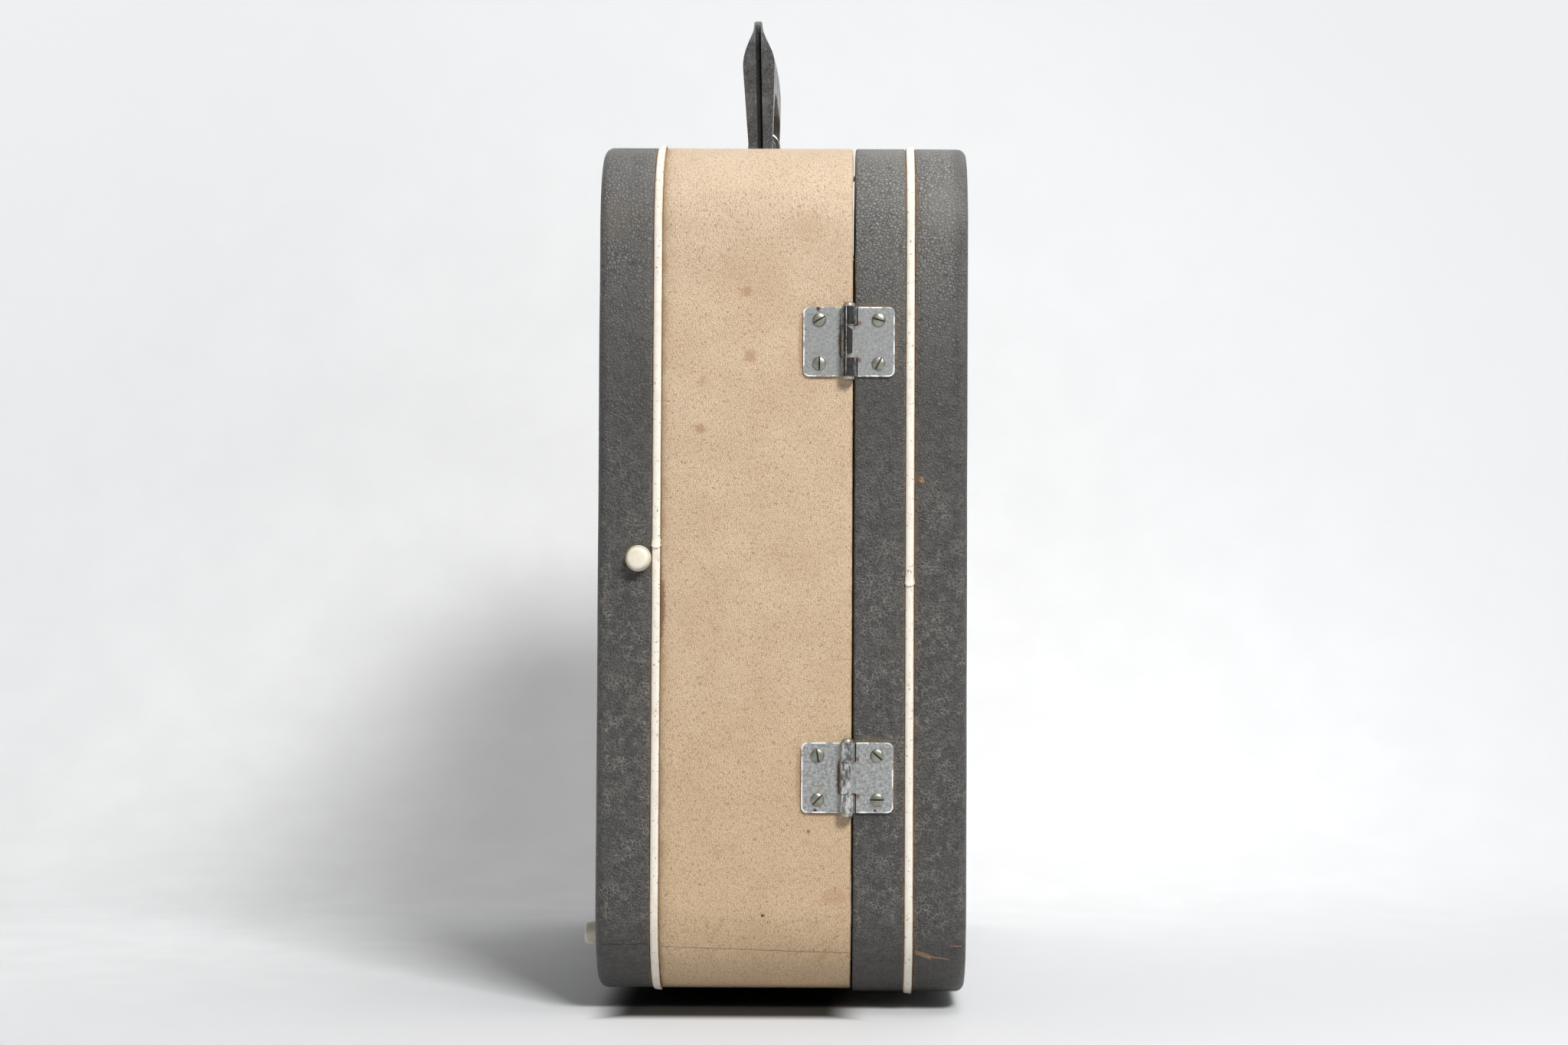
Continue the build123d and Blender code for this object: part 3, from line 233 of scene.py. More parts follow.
def soft_lamp(name, place, target, width, height, power):
    """A large soft lamp that shines from a place towards a target."""
    lamp = bpy.data.lights.new(name, "AREA")
    lamp.shape = "RECTANGLE"
    lamp.size = width
    lamp.size_y = height
    lamp.energy = power
    holder = bpy.data.objects.new(name, lamp)
    holder.location = place
    holder.rotation_euler = (Vector(target) - Vector(place)).to_track_quat("-Z", "Y").to_euler()
    bpy.context.scene.collection.objects.link(holder)


soft_lamp("overhead lamp", (0.28, -0.24, 1.2), (0.0, -0.05, 0.2), 0.75, 0.75, power=5.0)
soft_lamp("front lamp", (0.64, -1.5, 1.42), (0.0, -0.1, 0.2), 0.56, 0.5, power=39)
soft_lamp("strip lamp", (-0.95, -1.2, 0.65), (0.0, -0.18, 0.2), 0.12, 0.7, power=0.8)

# A room that is dim in front of the case and paler all round, and shows as white past the paper.
world = bpy.data.worlds.new("room")
bpy.context.scene.world = world
world.use_nodes = True
tree = world.node_tree
across, depth, _ = object_axes(tree, add(tree, "ShaderNodeTexCoord").outputs["Generated"])
seen = add(tree, "ShaderNodeLightPath").outputs
room_light = product(tree, ramp(tree, depth, -0.9, 0.1, 0.07, 0.18), ramp(tree, across, -0.9, 0.2, 0.3, 1.0))
mirrored = product(tree, seen["Is Glossy Ray"], ramp(tree, depth, 0.1, 0.3))
white = sums(tree, "MAXIMUM", seen["Is Camera Ray"], seen["Is Transmission Ray"])
white = product(tree, sums(tree, "MAXIMUM", white, mirrored), ROOM_WHITE)
strength = sums(tree, "MAXIMUM", room_light, white)
feed(tree.nodes["Background"], Color=(1, 1, 1, 1), Strength=strength)


# ---- dark leathercloth ----
# Paper-backed imitation leather, near black when new and now a warm grey, glued over the large faces
# and round the lid's rim. Its varnish has crazed into small cells with pale lines between them.
DARK_GREY = (0.047, 0.0445, 0.042)
LIGHTER_GREY = (0.068, 0.065, 0.061)
SHEEN_PAINTED_GREY = (0.235, 0.228, 0.213)
HOLLOW_SHADE_GREY = (0.05, 0.047, 0.044)
DARK_BROWN = (0.080, 0.066, 0.052)
UNDERSIDE_SHADE_GREY = (0.012, 0.011, 0.010)
CREASE_BLACK = (0.014, 0.013, 0.012)
RIDGE_GREY = (0.17, 0.162, 0.148)
CRACK_PALE = (0.27, 0.253, 0.22)
GLUE_BROWN = (0.20, 0.125, 0.07)
DARK_CELL = 0.0014  # across one cell of the crazing
PIPING_AT = (-0.0475, 0.0550)  # the body's piping and the lid's


def group_named(name, inputs, outputs):
    """An empty node group with float inputs (a vector comes first) and float outputs."""
    tree = bpy.data.node_groups.new(name, "ShaderNodeTree")
    tree.interface.new_socket("Place", in_out="INPUT", socket_type="NodeSocketVector")
    for label, value in inputs.items():
        tree.interface.new_socket(label, in_out="INPUT", socket_type="NodeSocketFloat").default_value = value
    for label in outputs:
        tree.interface.new_socket(label, in_out="OUTPUT", socket_type="NodeSocketFloat")
    return tree, tree.nodes.new("NodeGroupInput"), tree.nodes.new("NodeGroupOutput")


def use_group(tree, name, place, **values):
    group = bpy.data.node_groups[name]
    return add(tree, "ShaderNodeGroup", {"node_tree": group}, Place=place, **values).outputs


def blotches(tree, place, size, start, end):
    """Patches of about a size in metres, from 0 where their cloud is at start to 1 where it is at end."""
    return use_group(tree, "blotches", place, Size=size, From=start, To=end)["Mask"]


tree, given, result = group_named(
    "leather grain", {"Size": 0.0011, "Wander": 0.0008}, ["Height", "Creases", "Ridges", "Cell"])
flat = given.outputs["Place"]
finer = sums(tree, "DIVIDE", 1.0, given.outputs["Size"])
waves = add(tree, "ShaderNodeTexNoise", Vector=flat, Scale=finer, Detail=3.0, Roughness=0.6)
centred = vectors(tree, "SUBTRACT", waves.outputs["Color"], (0.5, 0.5, 0.5))
pushed = add(tree, "ShaderNodeVectorMath", {"operation": "SCALE"}, i0=centred, Scale=given.outputs["Wander"])
bent = vectors(tree, "ADD", flat, pushed.outputs[0])
folds = add(tree, "ShaderNodeTexVoronoi", {"feature": "DISTANCE_TO_EDGE"}, Vector=bent, Scale=finer)
cells = add(tree, "ShaderNodeTexVoronoi", Vector=bent, Scale=finer)
tone = add(tree, "ShaderNodeSeparateColor", Color=cells.outputs["Color"])
twice = sums(tree, "MULTIPLY", finer, 2.1)
wrinkles = add(tree, "ShaderNodeTexVoronoi", {"feature": "DISTANCE_TO_EDGE"}, Vector=bent, Scale=twice)
fine = noise(tree, flat, twice, 3.0, 0.6)
dome = ramp(tree, folds.outputs["Distance"], 0.0, 0.42)
small = ramp(tree, wrinkles.outputs["Distance"], 0.0, 0.4)
height = sums(tree, "ADD", dome, sums(tree, "MULTIPLY", small, 0.5))
height = sums(tree, "ADD", height, sums(tree, "MULTIPLY", fine, 0.4))
creases = ramp(tree, folds.outputs["Distance"], 0.0, 0.09, 1.0, 0.0)
ridges = ramp(tree, wrinkles.outputs["Distance"], 0.0, 0.16, 1.0, 0.0)
ridges = product(tree, ridges, ramp(tree, fine, 0.44, 0.56))
feed(result, Height=height, Creases=creases, Ridges=ridges, Cell=tone.outputs[0])

tree, given, result = group_named("blotches", {"Size": 0.05, "From": 0.45, "To": 0.75}, ["Mask"])
cloud = noise(tree, given.outputs["Place"], sums(tree, "DIVIDE", 1.0, given.outputs["Size"]), 5.0, 0.6)
feed(result, Mask=ramp(tree, cloud, given.outputs["From"], given.outputs["To"]))


def marked(tree, place, colour, marks):
    """Soft marks, most of them stains, some of them painted sheen: each has a middle and a reach in
    millimetres, how strong it is, and its colour.
    """
    uneven = sums(tree, "MULTIPLY_ADD", noise(tree, place, 900.0, 3.0, 0.65), 1.3)
    feed(uneven.node, i2=-0.65)
    for middle, reach, strength, tint in marks:
        off = vectors(tree, "SUBTRACT", place, [v * mm for v in middle])
        away = length(tree, vectors(tree, "DIVIDE", off, [v * mm for v in reach]))
        mask = ramp(tree, sums(tree, "ADD", away, uneven), 0.35, 1.0, strength, 0.0)
        colour = between(tree, mask, colour, tint)
    return colour


def creased(tree, place, colour, lines):
    """Nearly level lines on the hinge side, painted shade of creases and the torn edges of a tear: start and
    end (x, z), half width, strength and colour.
    """
    across, depth, up = object_axes(tree, place)
    near = sums(tree, "LESS_THAN", depth, -165 * mm)
    waver = product(tree, noise(tree, place, 260.0, 3.0), 0.9 * mm)
    for start, end, half_width, strength, tint in lines:
        start_x, start_z, end_x, end_z = (v * mm for v in start + end)
        limits = {"From_Min": start_x, "From_Max": end_x, "To_Min": start_z, "To_Max": end_z}
        line = add(tree, "ShaderNodeMapRange", Value=across, **limits).outputs["Result"]
        off = sums(tree, "SUBTRACT", sums(tree, "ADD", up, waver), sums(tree, "ADD", line, 0.45 * mm))
        mask = ramp(tree, sums(tree, "ABSOLUTE", off), 0.4 * half_width * mm, half_width * mm, strength, 0.0)
        begun = ramp(tree, across, start_x - 0.4 * mm, start_x + 1.0 * mm)
        ended = ramp(tree, across, end_x - 1.0 * mm, end_x + 0.4 * mm, 1.0, 0.0)
        colour = between(tree, product(tree, mask, begun, ended, near), colour, tint)
    return colour


dark_cloth, tree, shader, place = material_named("dark leathercloth", 0.5)
grain = use_group(tree, "leather grain", place, Size=DARK_CELL, Wander=0.0012)
across, _, up = object_axes(tree, place)
worn = blotches(tree, place, 0.012, 0.36, 0.64)
colour = between(tree, grain["Cell"], DARK_GREY, LIGHTER_GREY)
brown = blotches(tree, place, 0.04, 0.5, 0.78)
colour = between(tree, product(tree, brown, 0.3), colour, DARK_BROWN)
# Towards the top, more on the lid's side than the body's, the cloth is painted paler: a painted sheen of the
# overhead lamp.
painted_sheen = product(tree, ramp(tree, up, 0.24, 0.335), ramp(tree, across, 0.0, 0.06, 0.6, 1.0))
painted_sheen = product(tree, painted_sheen, ramp(tree, across, 0.070, 0.075, 1.0, 0.45))
colour = between(tree, painted_sheen, colour, SHEEN_PAINTED_GREY)
# Near the top the grain's hollows are painted dark again, as shade, so that the painted sheen lies on the
# raised grain.
painted_hollow_shade = product(tree, ramp(tree, grain["Height"], 0.3, 0.9, 0.65, 0.0), ramp(tree, up, 0.20, 0.30))
colour = between(tree, painted_hollow_shade, colour, HOLLOW_SHADE_GREY)
# The underside is painted nearly black, as shade.
colour = between(tree, ramp(tree, up, 0.0062, 0.0095, 0.85, 0.0), colour, UNDERSIDE_SHADE_GREY)
# Pale cracks show most in the lower half. Higher up, the creases between the cells are dark.
crazed = product(tree, ramp(tree, worn, 0.0, 1.0, 0.35, 0.8), ramp(tree, up, 0.16, 0.27, 1.0, 0.3))
crazed = product(tree, crazed, ramp(tree, up, 0.022, 0.045, 0.4, 1.0))
whole = sums(tree, "SUBTRACT", 1.0, crazed)
torn = blotches(tree, place, 0.0032, 0.43, 0.53)
colour = between(tree, product(tree, grain["Creases"], whole), colour, CREASE_BLACK)
colour = between(tree, product(tree, grain["Ridges"], 0.25), colour, RIDGE_GREY)
colour = between(tree, product(tree, grain["Creases"], crazed, torn), colour, CRACK_PALE)
# Glue has crept out beside the piping.
dribble = blotches(tree, place, 0.006, 0.36, 0.62)
for piping_x in PIPING_AT:
    off = sums(tree, "SUBTRACT", across, piping_x)
    right = product(tree, sums(tree, "GREATER_THAN", off, 0.0), ramp(tree, off, 0.0018, 0.0042, 1.0, 0.0))
    left = product(tree, sums(tree, "LESS_THAN", off, 0.0), ramp(tree, off, -0.0029, -0.0020))
    glue = product(tree, sums(tree, "ADD", left, right), ramp(tree, dribble, 0.0, 1.0, 0.25, 0.8))
    colour = between(tree, glue, colour, GLUE_BROWN)

DARK_STAINS_AND_SHEEN = (
    ((-54.9, -181, 184.9), (7.6, 12, 7.6), 0.65, (0.115, 0.095, 0.045)),
    ((59.5, -181, 216), (1.6, 9, 1.6), 0.8, (0.38, 0.20, 0.06)),
    *(((40, -181, z), (12, 9, 2.2), 0.6, (0.15, 0.115, 0.06)) for z in (286.6, 110.6)),
    *(((x, -181, z), (1.4, 9, 17), 0.6, (0.15, 0.10, 0.05)) for x, z in ((49.2, 272), (49.0, 96))),
    ((-68, -175, 14), (5, 9, 6), 0.5, (0.19, 0.13, 0.075)),
    # The next three, paler patches near the top, are painted sheen of the overhead lamp; the left one is
    # browned as well.
    ((-64, -181, 322), (12, 16, 12), 0.4, (0.15, 0.12, 0.095)),
    ((69, -181, 326), (12, 16, 16), 0.4, (0.22, 0.205, 0.185)),
    ((44, -160, 350), (14, 20, 6), 0.35, (0.20, 0.185, 0.16)),
)
# The first two lines are painted shade along creases in the cloth; the other three draw the torn edges of a
# tear.
DARK_CREASE_SHADE_AND_TEAR = (
    ((-69.5, 28.1), (-49.9, 28.5), 0.32, 0.9, (0.018, 0.010, 0.008)),
    ((34.0, 21.6), (52.0, 21.7), 0.25, 0.55, (0.02, 0.015, 0.012)),
    ((57.4, 25.6), (64.5, 23.1), 1.25, 0.85, (0.30, 0.185, 0.085)),
    ((62.0, 23.6), (71.8, 22.5), 0.4, 0.8, (0.33, 0.21, 0.11)),
    ((71.6, 28.0), (77.0, 28.1), 0.3, 0.8, (0.33, 0.14, 0.11)),
)
colour = marked(tree, place, colour, DARK_STAINS_AND_SHEEN)
colour = creased(tree, place, colour, DARK_CREASE_SHADE_AND_TEAR)
feed(shader, Base_Color=colour, Roughness=ramp(tree, worn, 0.0, 1.0, 0.34, 0.48))
give_relief(tree, shader, grain["Height"], 1.0, 0.0003)


CORNER = 37 * mm
ACROSS, ALONG, UP = 0, 1, 2


def cut(axis, places):
    """Cut all of the piece in edit mode at places along an axis."""
    for place in places:
        at, facing = Vector(), Vector()
        at[axis] = place
        facing[axis] = 1
        bpy.ops.mesh.select_all(action="SELECT")
        bpy.ops.mesh.bisect(plane_co=at, plane_no=facing)


def steps(start, end, step):
    """Places between two ends, about a step apart."""
    count = max(1, round(abs(end - start) / step))
    return [start + (end - start) * i / count for i in range(1, count)]


def cut_flats(low, high, corner, step):
    """Cut the straight stretches between a shell's corners into short ones."""
    for axis in (ALONG, UP):
        cut(axis, steps(low[axis] + corner, high[axis] - corner, step))


def lies_at(part, x):
    """Whether all of an edge or face lies at one X."""
    return all(abs(v.co.x - x) < 1e-6 for v in part.verts)


def shell_block(name, low, high, corner, *open_at):
    """A block in a band's place, its corners rounded, open where X is open_at, left in edit mode."""
    bpy.ops.mesh.primitive_cube_add(size=1, location=(low + high) / 2, scale=high - low)
    block = bpy.context.active_object
    block.name = block.data.name = name
    bpy.ops.object.transform_apply()
    bpy.ops.object.mode_set(mode="EDIT")
    choose(block, "edges", lambda e: abs(e.verts[0].co.x - e.verts[1].co.x) > 1e-5)
    bpy.ops.mesh.bevel(offset=corner, segments=24 if corner == CORNER else 1)
    choose(block, "faces", lambda f: any(lies_at(f, x) for x in open_at))
    bpy.ops.mesh.delete(type="FACE")
    return block


def ripple(piece, size, depth):
    """Let the cloth sink here and there below its true surface, as glued cloth does."""
    cloud = bpy.data.textures.new(f"{piece.name} ripple", "CLOUDS")
    cloud.noise_scale = size
    change = piece.modifiers.new("ripple", "DISPLACE")
    change.texture = cloud
    change.strength = depth
    change.mid_level = 1.0
    bpy.ops.object.modifier_apply(modifier="ripple")


def give_thickness(piece, thickness):
    change = piece.modifiers.new("thickness", "SOLIDIFY")
    change.thickness = thickness
    change.offset = -1.0
    bpy.ops.object.modifier_apply(modifier="thickness")


CLOTH_STEP = 13 * mm
CLOTH_THICKNESS = 0.4 * mm
FACE_EDGE = 3.8 * mm
RIM_EDGE = 1.1 * mm
TURNED_IN = 7.4 * mm  # how far the cloth reaches over the wood of the rim
TUCK = 0.6 * mm


def tuck_in(cloth, edge_x, tuck_x, towards, step):
    """Cut the cloth across its width, and sink its last strip beside the piping."""
    cut(ACROSS, steps(edge_x, tuck_x, step) + [tuck_x + towards * TUCK])
    choose(cloth, "verts", lambda v: abs(v.co.x - tuck_x) < 1e-6)
    bpy.ops.transform.shrink_fatten(value=-CLOTH_THICKNESS)


def glue_down(cloth, ripple_size, ripple_depth, thickness=CLOTH_THICKNESS):
    bpy.ops.object.mode_set(mode="OBJECT")
    ripple(cloth, ripple_size, ripple_depth)
    give_thickness(cloth, thickness)
    bpy.ops.object.shade_smooth_by_angle(angle=radians(50))


def face_cloth(name, towards):
    """The cloth over a large face, rounded over its edge and tucked in beside the piping."""
    low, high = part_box(name.replace("_cloth", "_cover"))
    face_x, tuck_x = (low.x, high.x) if towards < 0 else (high.x, low.x)
    cloth = shell_block(name, low, high, CORNER, tuck_x)
    choose(cloth, "edges", lambda e: lies_at(e, face_x))
    bpy.ops.mesh.bevel(offset=FACE_EDGE, segments=6)
    cut_flats(low, high, CORNER, CLOTH_STEP)
    tuck_in(cloth, face_x, tuck_x, towards, 4.2 * mm)
    glue_down(cloth, 45 * mm, 0.3 * mm)
    return cloth


def rim_cloth(name, towards):
    """The cloth between the piping and the rim, turned over the rim's edge onto the wood."""
    low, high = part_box(name.replace("_cloth", "_cover"))
    turned = 0.25 * mm
    if towards > 0:
        high.x += turned
    else:
        low.x -= turned
    rim_x, tuck_x = (high.x, low.x) if towards > 0 else (low.x, high.x)
    cloth = shell_block(name, low, high, CORNER, tuck_x)
    choose(cloth, "faces", lambda f: lies_at(f, rim_x))
    bpy.ops.mesh.inset(thickness=TURNED_IN)
    bpy.ops.mesh.delete(type="FACE")
    choose(cloth, "edges", lambda e: lies_at(e, rim_x) and any(abs(f.normal.x) < 0.5 for f in e.link_faces))
    bpy.ops.mesh.bevel(offset=RIM_EDGE, segments=5)
    cut_flats(low, high, CORNER, CLOTH_STEP)
    tuck_in(cloth, rim_x, tuck_x, towards, 5.5 * mm)
    # The seam stands a little open at the top of the hinge side.
    drawn_back = (-0.12 * mm if towards > 0 else 0.05 * mm, 0, 0)
    for reach in (85, 60, 35):
        from_z = high.z - reach * mm
        choose(cloth, "verts", lambda v: (
            abs(v.co.x - rim_x) < 1.5 * mm and v.co.y < -140 * mm and v.co.z > from_z))
        bpy.ops.transform.translate(value=drawn_back)
    glue_down(cloth, 38 * mm, 0.2 * mm)
    return cloth


def covers(piece, body, node, look):
    """Give a piece its finish and let it ride on a body in the place of a solid."""
    piece.data.materials.append(look)
    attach(piece, body)
    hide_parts(node)


covers(face_cloth("body_face_cloth", -1), "body", "body_face_cover", dark_cloth)
covers(face_cloth("lid_face_cloth", 1), "lid", "lid_face_cover", dark_cloth)
covers(rim_cloth("lid_rim_cloth", -1), "lid", "lid_rim_cover", dark_cloth)


# ---- tan leathercloth ----
# A smooth tan band of the same kind of cloth round the body's rim. It is grubby beside the piping and
# the seam, and has brown specks and a few rust and grease stains.
TAN = (0.56, 0.40, 0.255)
PALER_TAN = (0.635, 0.47, 0.312)
SHADE_PAINTED_LOW_TAN = (0.55, 0.38, 0.18)
UNDERSIDE_SHADE_TAN = (0.05, 0.035, 0.022)
SHEEN_PAINTED_TAN = (0.58, 0.465, 0.345)
TAN_RIDGE = (0.80, 0.655, 0.49)
TAN_CREASE = (0.36, 0.235, 0.135)
SCRATCH_BROWN = (0.28, 0.165, 0.085)
FLECK_BROWN = (0.20, 0.115, 0.06)
SPOT_BROWN = (0.42, 0.25, 0.12)
GRIME_BROWN = (0.34, 0.21, 0.105)
SEAM_BROWN = (0.30, 0.18, 0.09)
TAN_CELL = 0.00095

tan_cloth, tree, shader, place = material_named("tan leathercloth", 0.5)
grain = use_group(tree, "leather grain", place, Size=TAN_CELL, Wander=0.0009)
across, _, up = object_axes(tree, place)
colour = between(tree, blotches(tree, place, 0.02, 0.35, 0.68), TAN, PALER_TAN)
# Lower down the tan is painted darker and yellower, as painted shade of the light's fall-off.
colour = between(tree, ramp(tree, up, 0.06, 0.22, 0.4, 0.0), colour, SHADE_PAINTED_LOW_TAN)
# The underside is painted nearly black, as shade.
colour = between(tree, ramp(tree, up, 0.0075, 0.0105, 0.8, 0.0), colour, UNDERSIDE_SHADE_TAN)
# Towards the top the tan is painted paler and greyer: a painted sheen of the overhead lamp.
colour = between(tree, ramp(tree, up, 0.27, 0.35, 0.0, 0.5), colour, SHEEN_PAINTED_TAN)
colour = between(tree, product(tree, grain["Ridges"], 0.75), colour, TAN_RIDGE)
colour = between(tree, product(tree, grain["Creases"], 0.5), colour, TAN_CREASE)
turned = add(tree, "ShaderNodeMapping", Vector=place, Rotation=(0, radians(40), 0), Scale=(2600, 1200, 700))
strokes = ramp(tree, noise(tree, turned.outputs[0], 1.0, 1.0), 0.54, 0.68)
colour = between(tree, product(tree, strokes, 0.6), colour, SCRATCH_BROWN)
flecks = blotches(tree, place, 0.0013, 0.59, 0.66)
colour = between(tree, product(tree, flecks, 0.55), colour, FLECK_BROWN)
spots = blotches(tree, place, 0.009, 0.60, 0.76)
colour = between(tree, product(tree, spots, 0.5), colour, SPOT_BROWN)
uneven = product(tree, noise(tree, place, 150.0, 5.0, 0.65), 0.006)
grime = ramp(tree, sums(tree, "SUBTRACT", across, uneven), -0.0492, -0.0460, 0.75, 0.0)
colour = between(tree, grime, colour, GRIME_BROWN)
seam = ramp(tree, sums(tree, "ADD", across, uneven), 0.0338, 0.0358, 0.0, 0.6)
colour = between(tree, seam, colour, SEAM_BROWN)

TAN_STAINS = (
    ((25.2, -181, 47.6), (8, 12, 4.5), 0.4, (0.42, 0.20, 0.12)),
    ((-3.7, -181, 40.4), (1.0, 12, 1.0), 1.0, (0.03, 0.02, 0.015)),
    ((14.6, -181, 74.2), (1.1, 12, 1.1), 0.9, (0.30, 0.10, 0.05)),
    ((-11.5, -181, 292.4), (3.6, 12, 2.8), 0.6, (0.36, 0.20, 0.09)),
    ((-9.9, -181, 266), (3.2, 12, 3.6), 0.6, (0.36, 0.20, 0.09)),
    ((-29.9, -181, 236.4), (2.8, 12, 2.8), 0.65, (0.36, 0.20, 0.09)),
    ((-45.4, -181, 164), (2.2, 12, 20), 0.95, (0.24, 0.13, 0.065)),
    ((-8, -181, 300), (20, 12, 18), 0.22, (0.42, 0.25, 0.12)),
    ((14, -181, 318), (9, 12, 10), 0.2, (0.42, 0.25, 0.12)),
    *(((x, -181, z), (1.6, 12, 17), 0.5, (0.33, 0.18, 0.09)) for x, z in ((10.6, 272), (10.4, 96))),
    *(((20, -181, z), (10, 12, 1.6), 0.5, (0.33, 0.19, 0.10)) for z in (257.4, 81.2)),
)
# Both lines are painted shade along one crease across the band.
TAN_CREASE_SHADE = (
    ((-45.0, 27.4), (-5.6, 26.2), 0.26, 0.6, (0.13, 0.075, 0.045)),
    ((-5.6, 26.0), (31.5, 25.0), 0.26, 0.7, (0.13, 0.075, 0.045)),
)
colour = marked(tree, place, colour, TAN_STAINS)
colour = creased(tree, place, colour, TAN_CREASE_SHADE)
feed(shader, Base_Color=colour)
give_relief(tree, shader, grain["Height"], 1.0, 0.00013)

covers(rim_cloth("body_rim_cloth", 1), "body", "body_rim_cover", tan_cloth)


# ---- piping ----
# Cream celluloid bead, nailed and glued between the cloths of each shell before they meet it. It is a
# rounded strip with a flat foot, a little wavy, with dirt along both sides.
CREAM = (0.84, 0.79, 0.69)
DRAWN_CREAM = (0.74, 0.69, 0.60)
AGED_CREAM = (0.62, 0.50, 0.36)
PIPING_DIRT = (0.40, 0.27, 0.145)
SPECK_BROWN = (0.19, 0.125, 0.07)

piping_look, tree, shader, place = material_named("cream piping", 0.36)
streaks = noise(tree, vectors(tree, "MULTIPLY", place, (1.0, 0.05, 0.05)), 2200.0)
colour = between(tree, ramp(tree, streaks, 0.5, 0.75), CREAM, DRAWN_CREAM)
aged = blotches(tree, place, 0.007, 0.45, 0.75)
colour = between(tree, product(tree, aged, 0.4), colour, AGED_CREAM)
across, _, up = object_axes(tree, place)
gritty = ramp(tree, noise(tree, place, 1300.0, 4.0), 0.35, 0.6, 0.3, 0.95)
for piping_x in PIPING_AT:
    away = sums(tree, "ABSOLUTE", sums(tree, "SUBTRACT", across, piping_x))
    inside = sums(tree, "LESS_THAN", away, 0.003)
    grubby = product(tree, inside, gritty, ramp(tree, away, 0.0013, 0.0018))
    colour = between(tree, grubby, colour, PIPING_DIRT)
specks = blotches(tree, place, 0.0012, 0.61, 0.67)
colour = between(tree, product(tree, specks, 0.7), colour, SPECK_BROWN)
feed(shader, Base_Color=colour)
give_relief(tree, shader, noise(tree, place, 420.0, 3.0), 0.3, 0.0002)


def joined(name, copies):
    """Like parts made one piece."""
    take(*copies)
    if len(copies) > 1:
        bpy.ops.object.join()
    piece = bpy.context.active_object
    piece.name = piece.data.name = name
    return piece


def overlap(middle_x, face_y, z):
    """Where the ends of a bead meet, the upper one curls over the lower, with a bowed edge."""
    middle = (middle_x, face_y, z)
    bpy.ops.mesh.primitive_cylinder_add(
        vertices=32, radius=2.0 * mm, depth=2.6 * mm, end_fill_type="NOTHING", location=middle)
    lip = bpy.context.active_object
    bpy.ops.object.transform_apply()
    bpy.ops.object.mode_set(mode="EDIT")
    choose(lip, "verts", lambda v: v.co.y > face_y + 0.3 * mm)
    bpy.ops.mesh.delete(type="VERT")
    cut(UP, [z - 0.3 * mm])
    bpy.ops.mesh.select_all(action="SELECT")
    bpy.ops.transform.resize(value=(1, 0.62, 1), center_override=middle)
    for reach in (1.9 * mm, 1.4 * mm, 0.8 * mm):
        choose(lip, "verts", lambda v: v.co.z < z - 0.9 * mm and abs(v.co.x - middle_x) < reach)
        bpy.ops.transform.translate(value=(0, 0, -0.3 * mm))
    choose(lip, "verts", lambda v: v.co.z < z - 0.9 * mm)
    bpy.ops.transform.translate(value=(0, -0.28 * mm, 0))
    bpy.ops.transform.resize(value=(1.1, 1, 1), center_override=middle)
    bpy.ops.object.mode_set(mode="OBJECT")
    give_thickness(lip, 0.3 * mm)
    return lip


# Half of the bead's section: how far from its middle, and how far out from 1 mm inside the solid's box.
BEAD_FOOT = (1.8, -0.5)
BEAD_SIDE = ((1.62, 0.15), (1.3, 0.55), (0.75, 0.88))
BEAD_TOP = (0.0, 1.0)
BEAD_THICKNESS = 0.7 * mm
ENDS_MEET_AT = {"body": 190.4 * mm, "lid": 175.4 * mm}

section = [(-x, rise) for x, rise in (BEAD_FOOT, *BEAD_SIDE)]
section += [BEAD_TOP, *reversed(BEAD_SIDE), BEAD_FOOT]
for body, meeting_z in ENDS_MEET_AT.items():
    low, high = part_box(f"{body}_piping")
    middle_x = (low.x + high.x) / 2
    rise = Vector((0, 1 * mm, 1 * mm))
    bead = shell_block(f"{body}_piping_bead", low + rise, high - rise, CORNER, low.x, high.x)
    cut(ACROSS, [middle_x + across * mm for across, _ in section[1:-1]])
    cut_flats(low, high, 38 * mm, 6 * mm)
    for across, rise in section:
        x = middle_x + across * mm
        choose(bead, "verts", lambda v: abs(v.co.x - x) < 1e-5)
        bpy.ops.transform.shrink_fatten(value=rise * mm)
    bpy.ops.object.mode_set(mode="OBJECT")
    ripple(bead, 9 * mm, 0.16 * mm)
    give_thickness(bead, BEAD_THICKNESS)
    lip = overlap(middle_x, low.y + 1 * mm, meeting_z)
    bead = joined(f"{body}_piping_bead", [bead, lip])
    bpy.ops.object.shade_smooth_by_angle(angle=radians(60))
    covers(bead, body, f"{body}_piping", piping_look)


# ---- wood ----
# Plywood for the large panels and the strips that keep the lid in line, and softwood for the side
# boards, corner posts and blocks. It only shows at the rims and inside.
PLYWOOD = (0.50, 0.36, 0.21), (0.36, 0.23, 0.12)
SOFTWOOD = (0.55, 0.40, 0.24), (0.40, 0.26, 0.14)
WOOD_PORES = (0.16, 0.09, 0.045)

tree, given, result = group_named("wood grain", {"Fineness": 90.0}, ["Rings", "Pores"])
drawn_out = vectors(tree, "MULTIPLY", given.outputs["Place"], (1.0, 1.0, 0.12))
fineness = given.outputs["Fineness"]
rings = add(tree, "ShaderNodeTexNoise", Vector=drawn_out, Scale=fineness, Detail=4.0, Distortion=1.2)
pores = ramp(tree, noise(tree, drawn_out, 1500.0), 0.55, 0.7)
feed(result, Rings=rings.outputs["Fac"], Pores=pores)


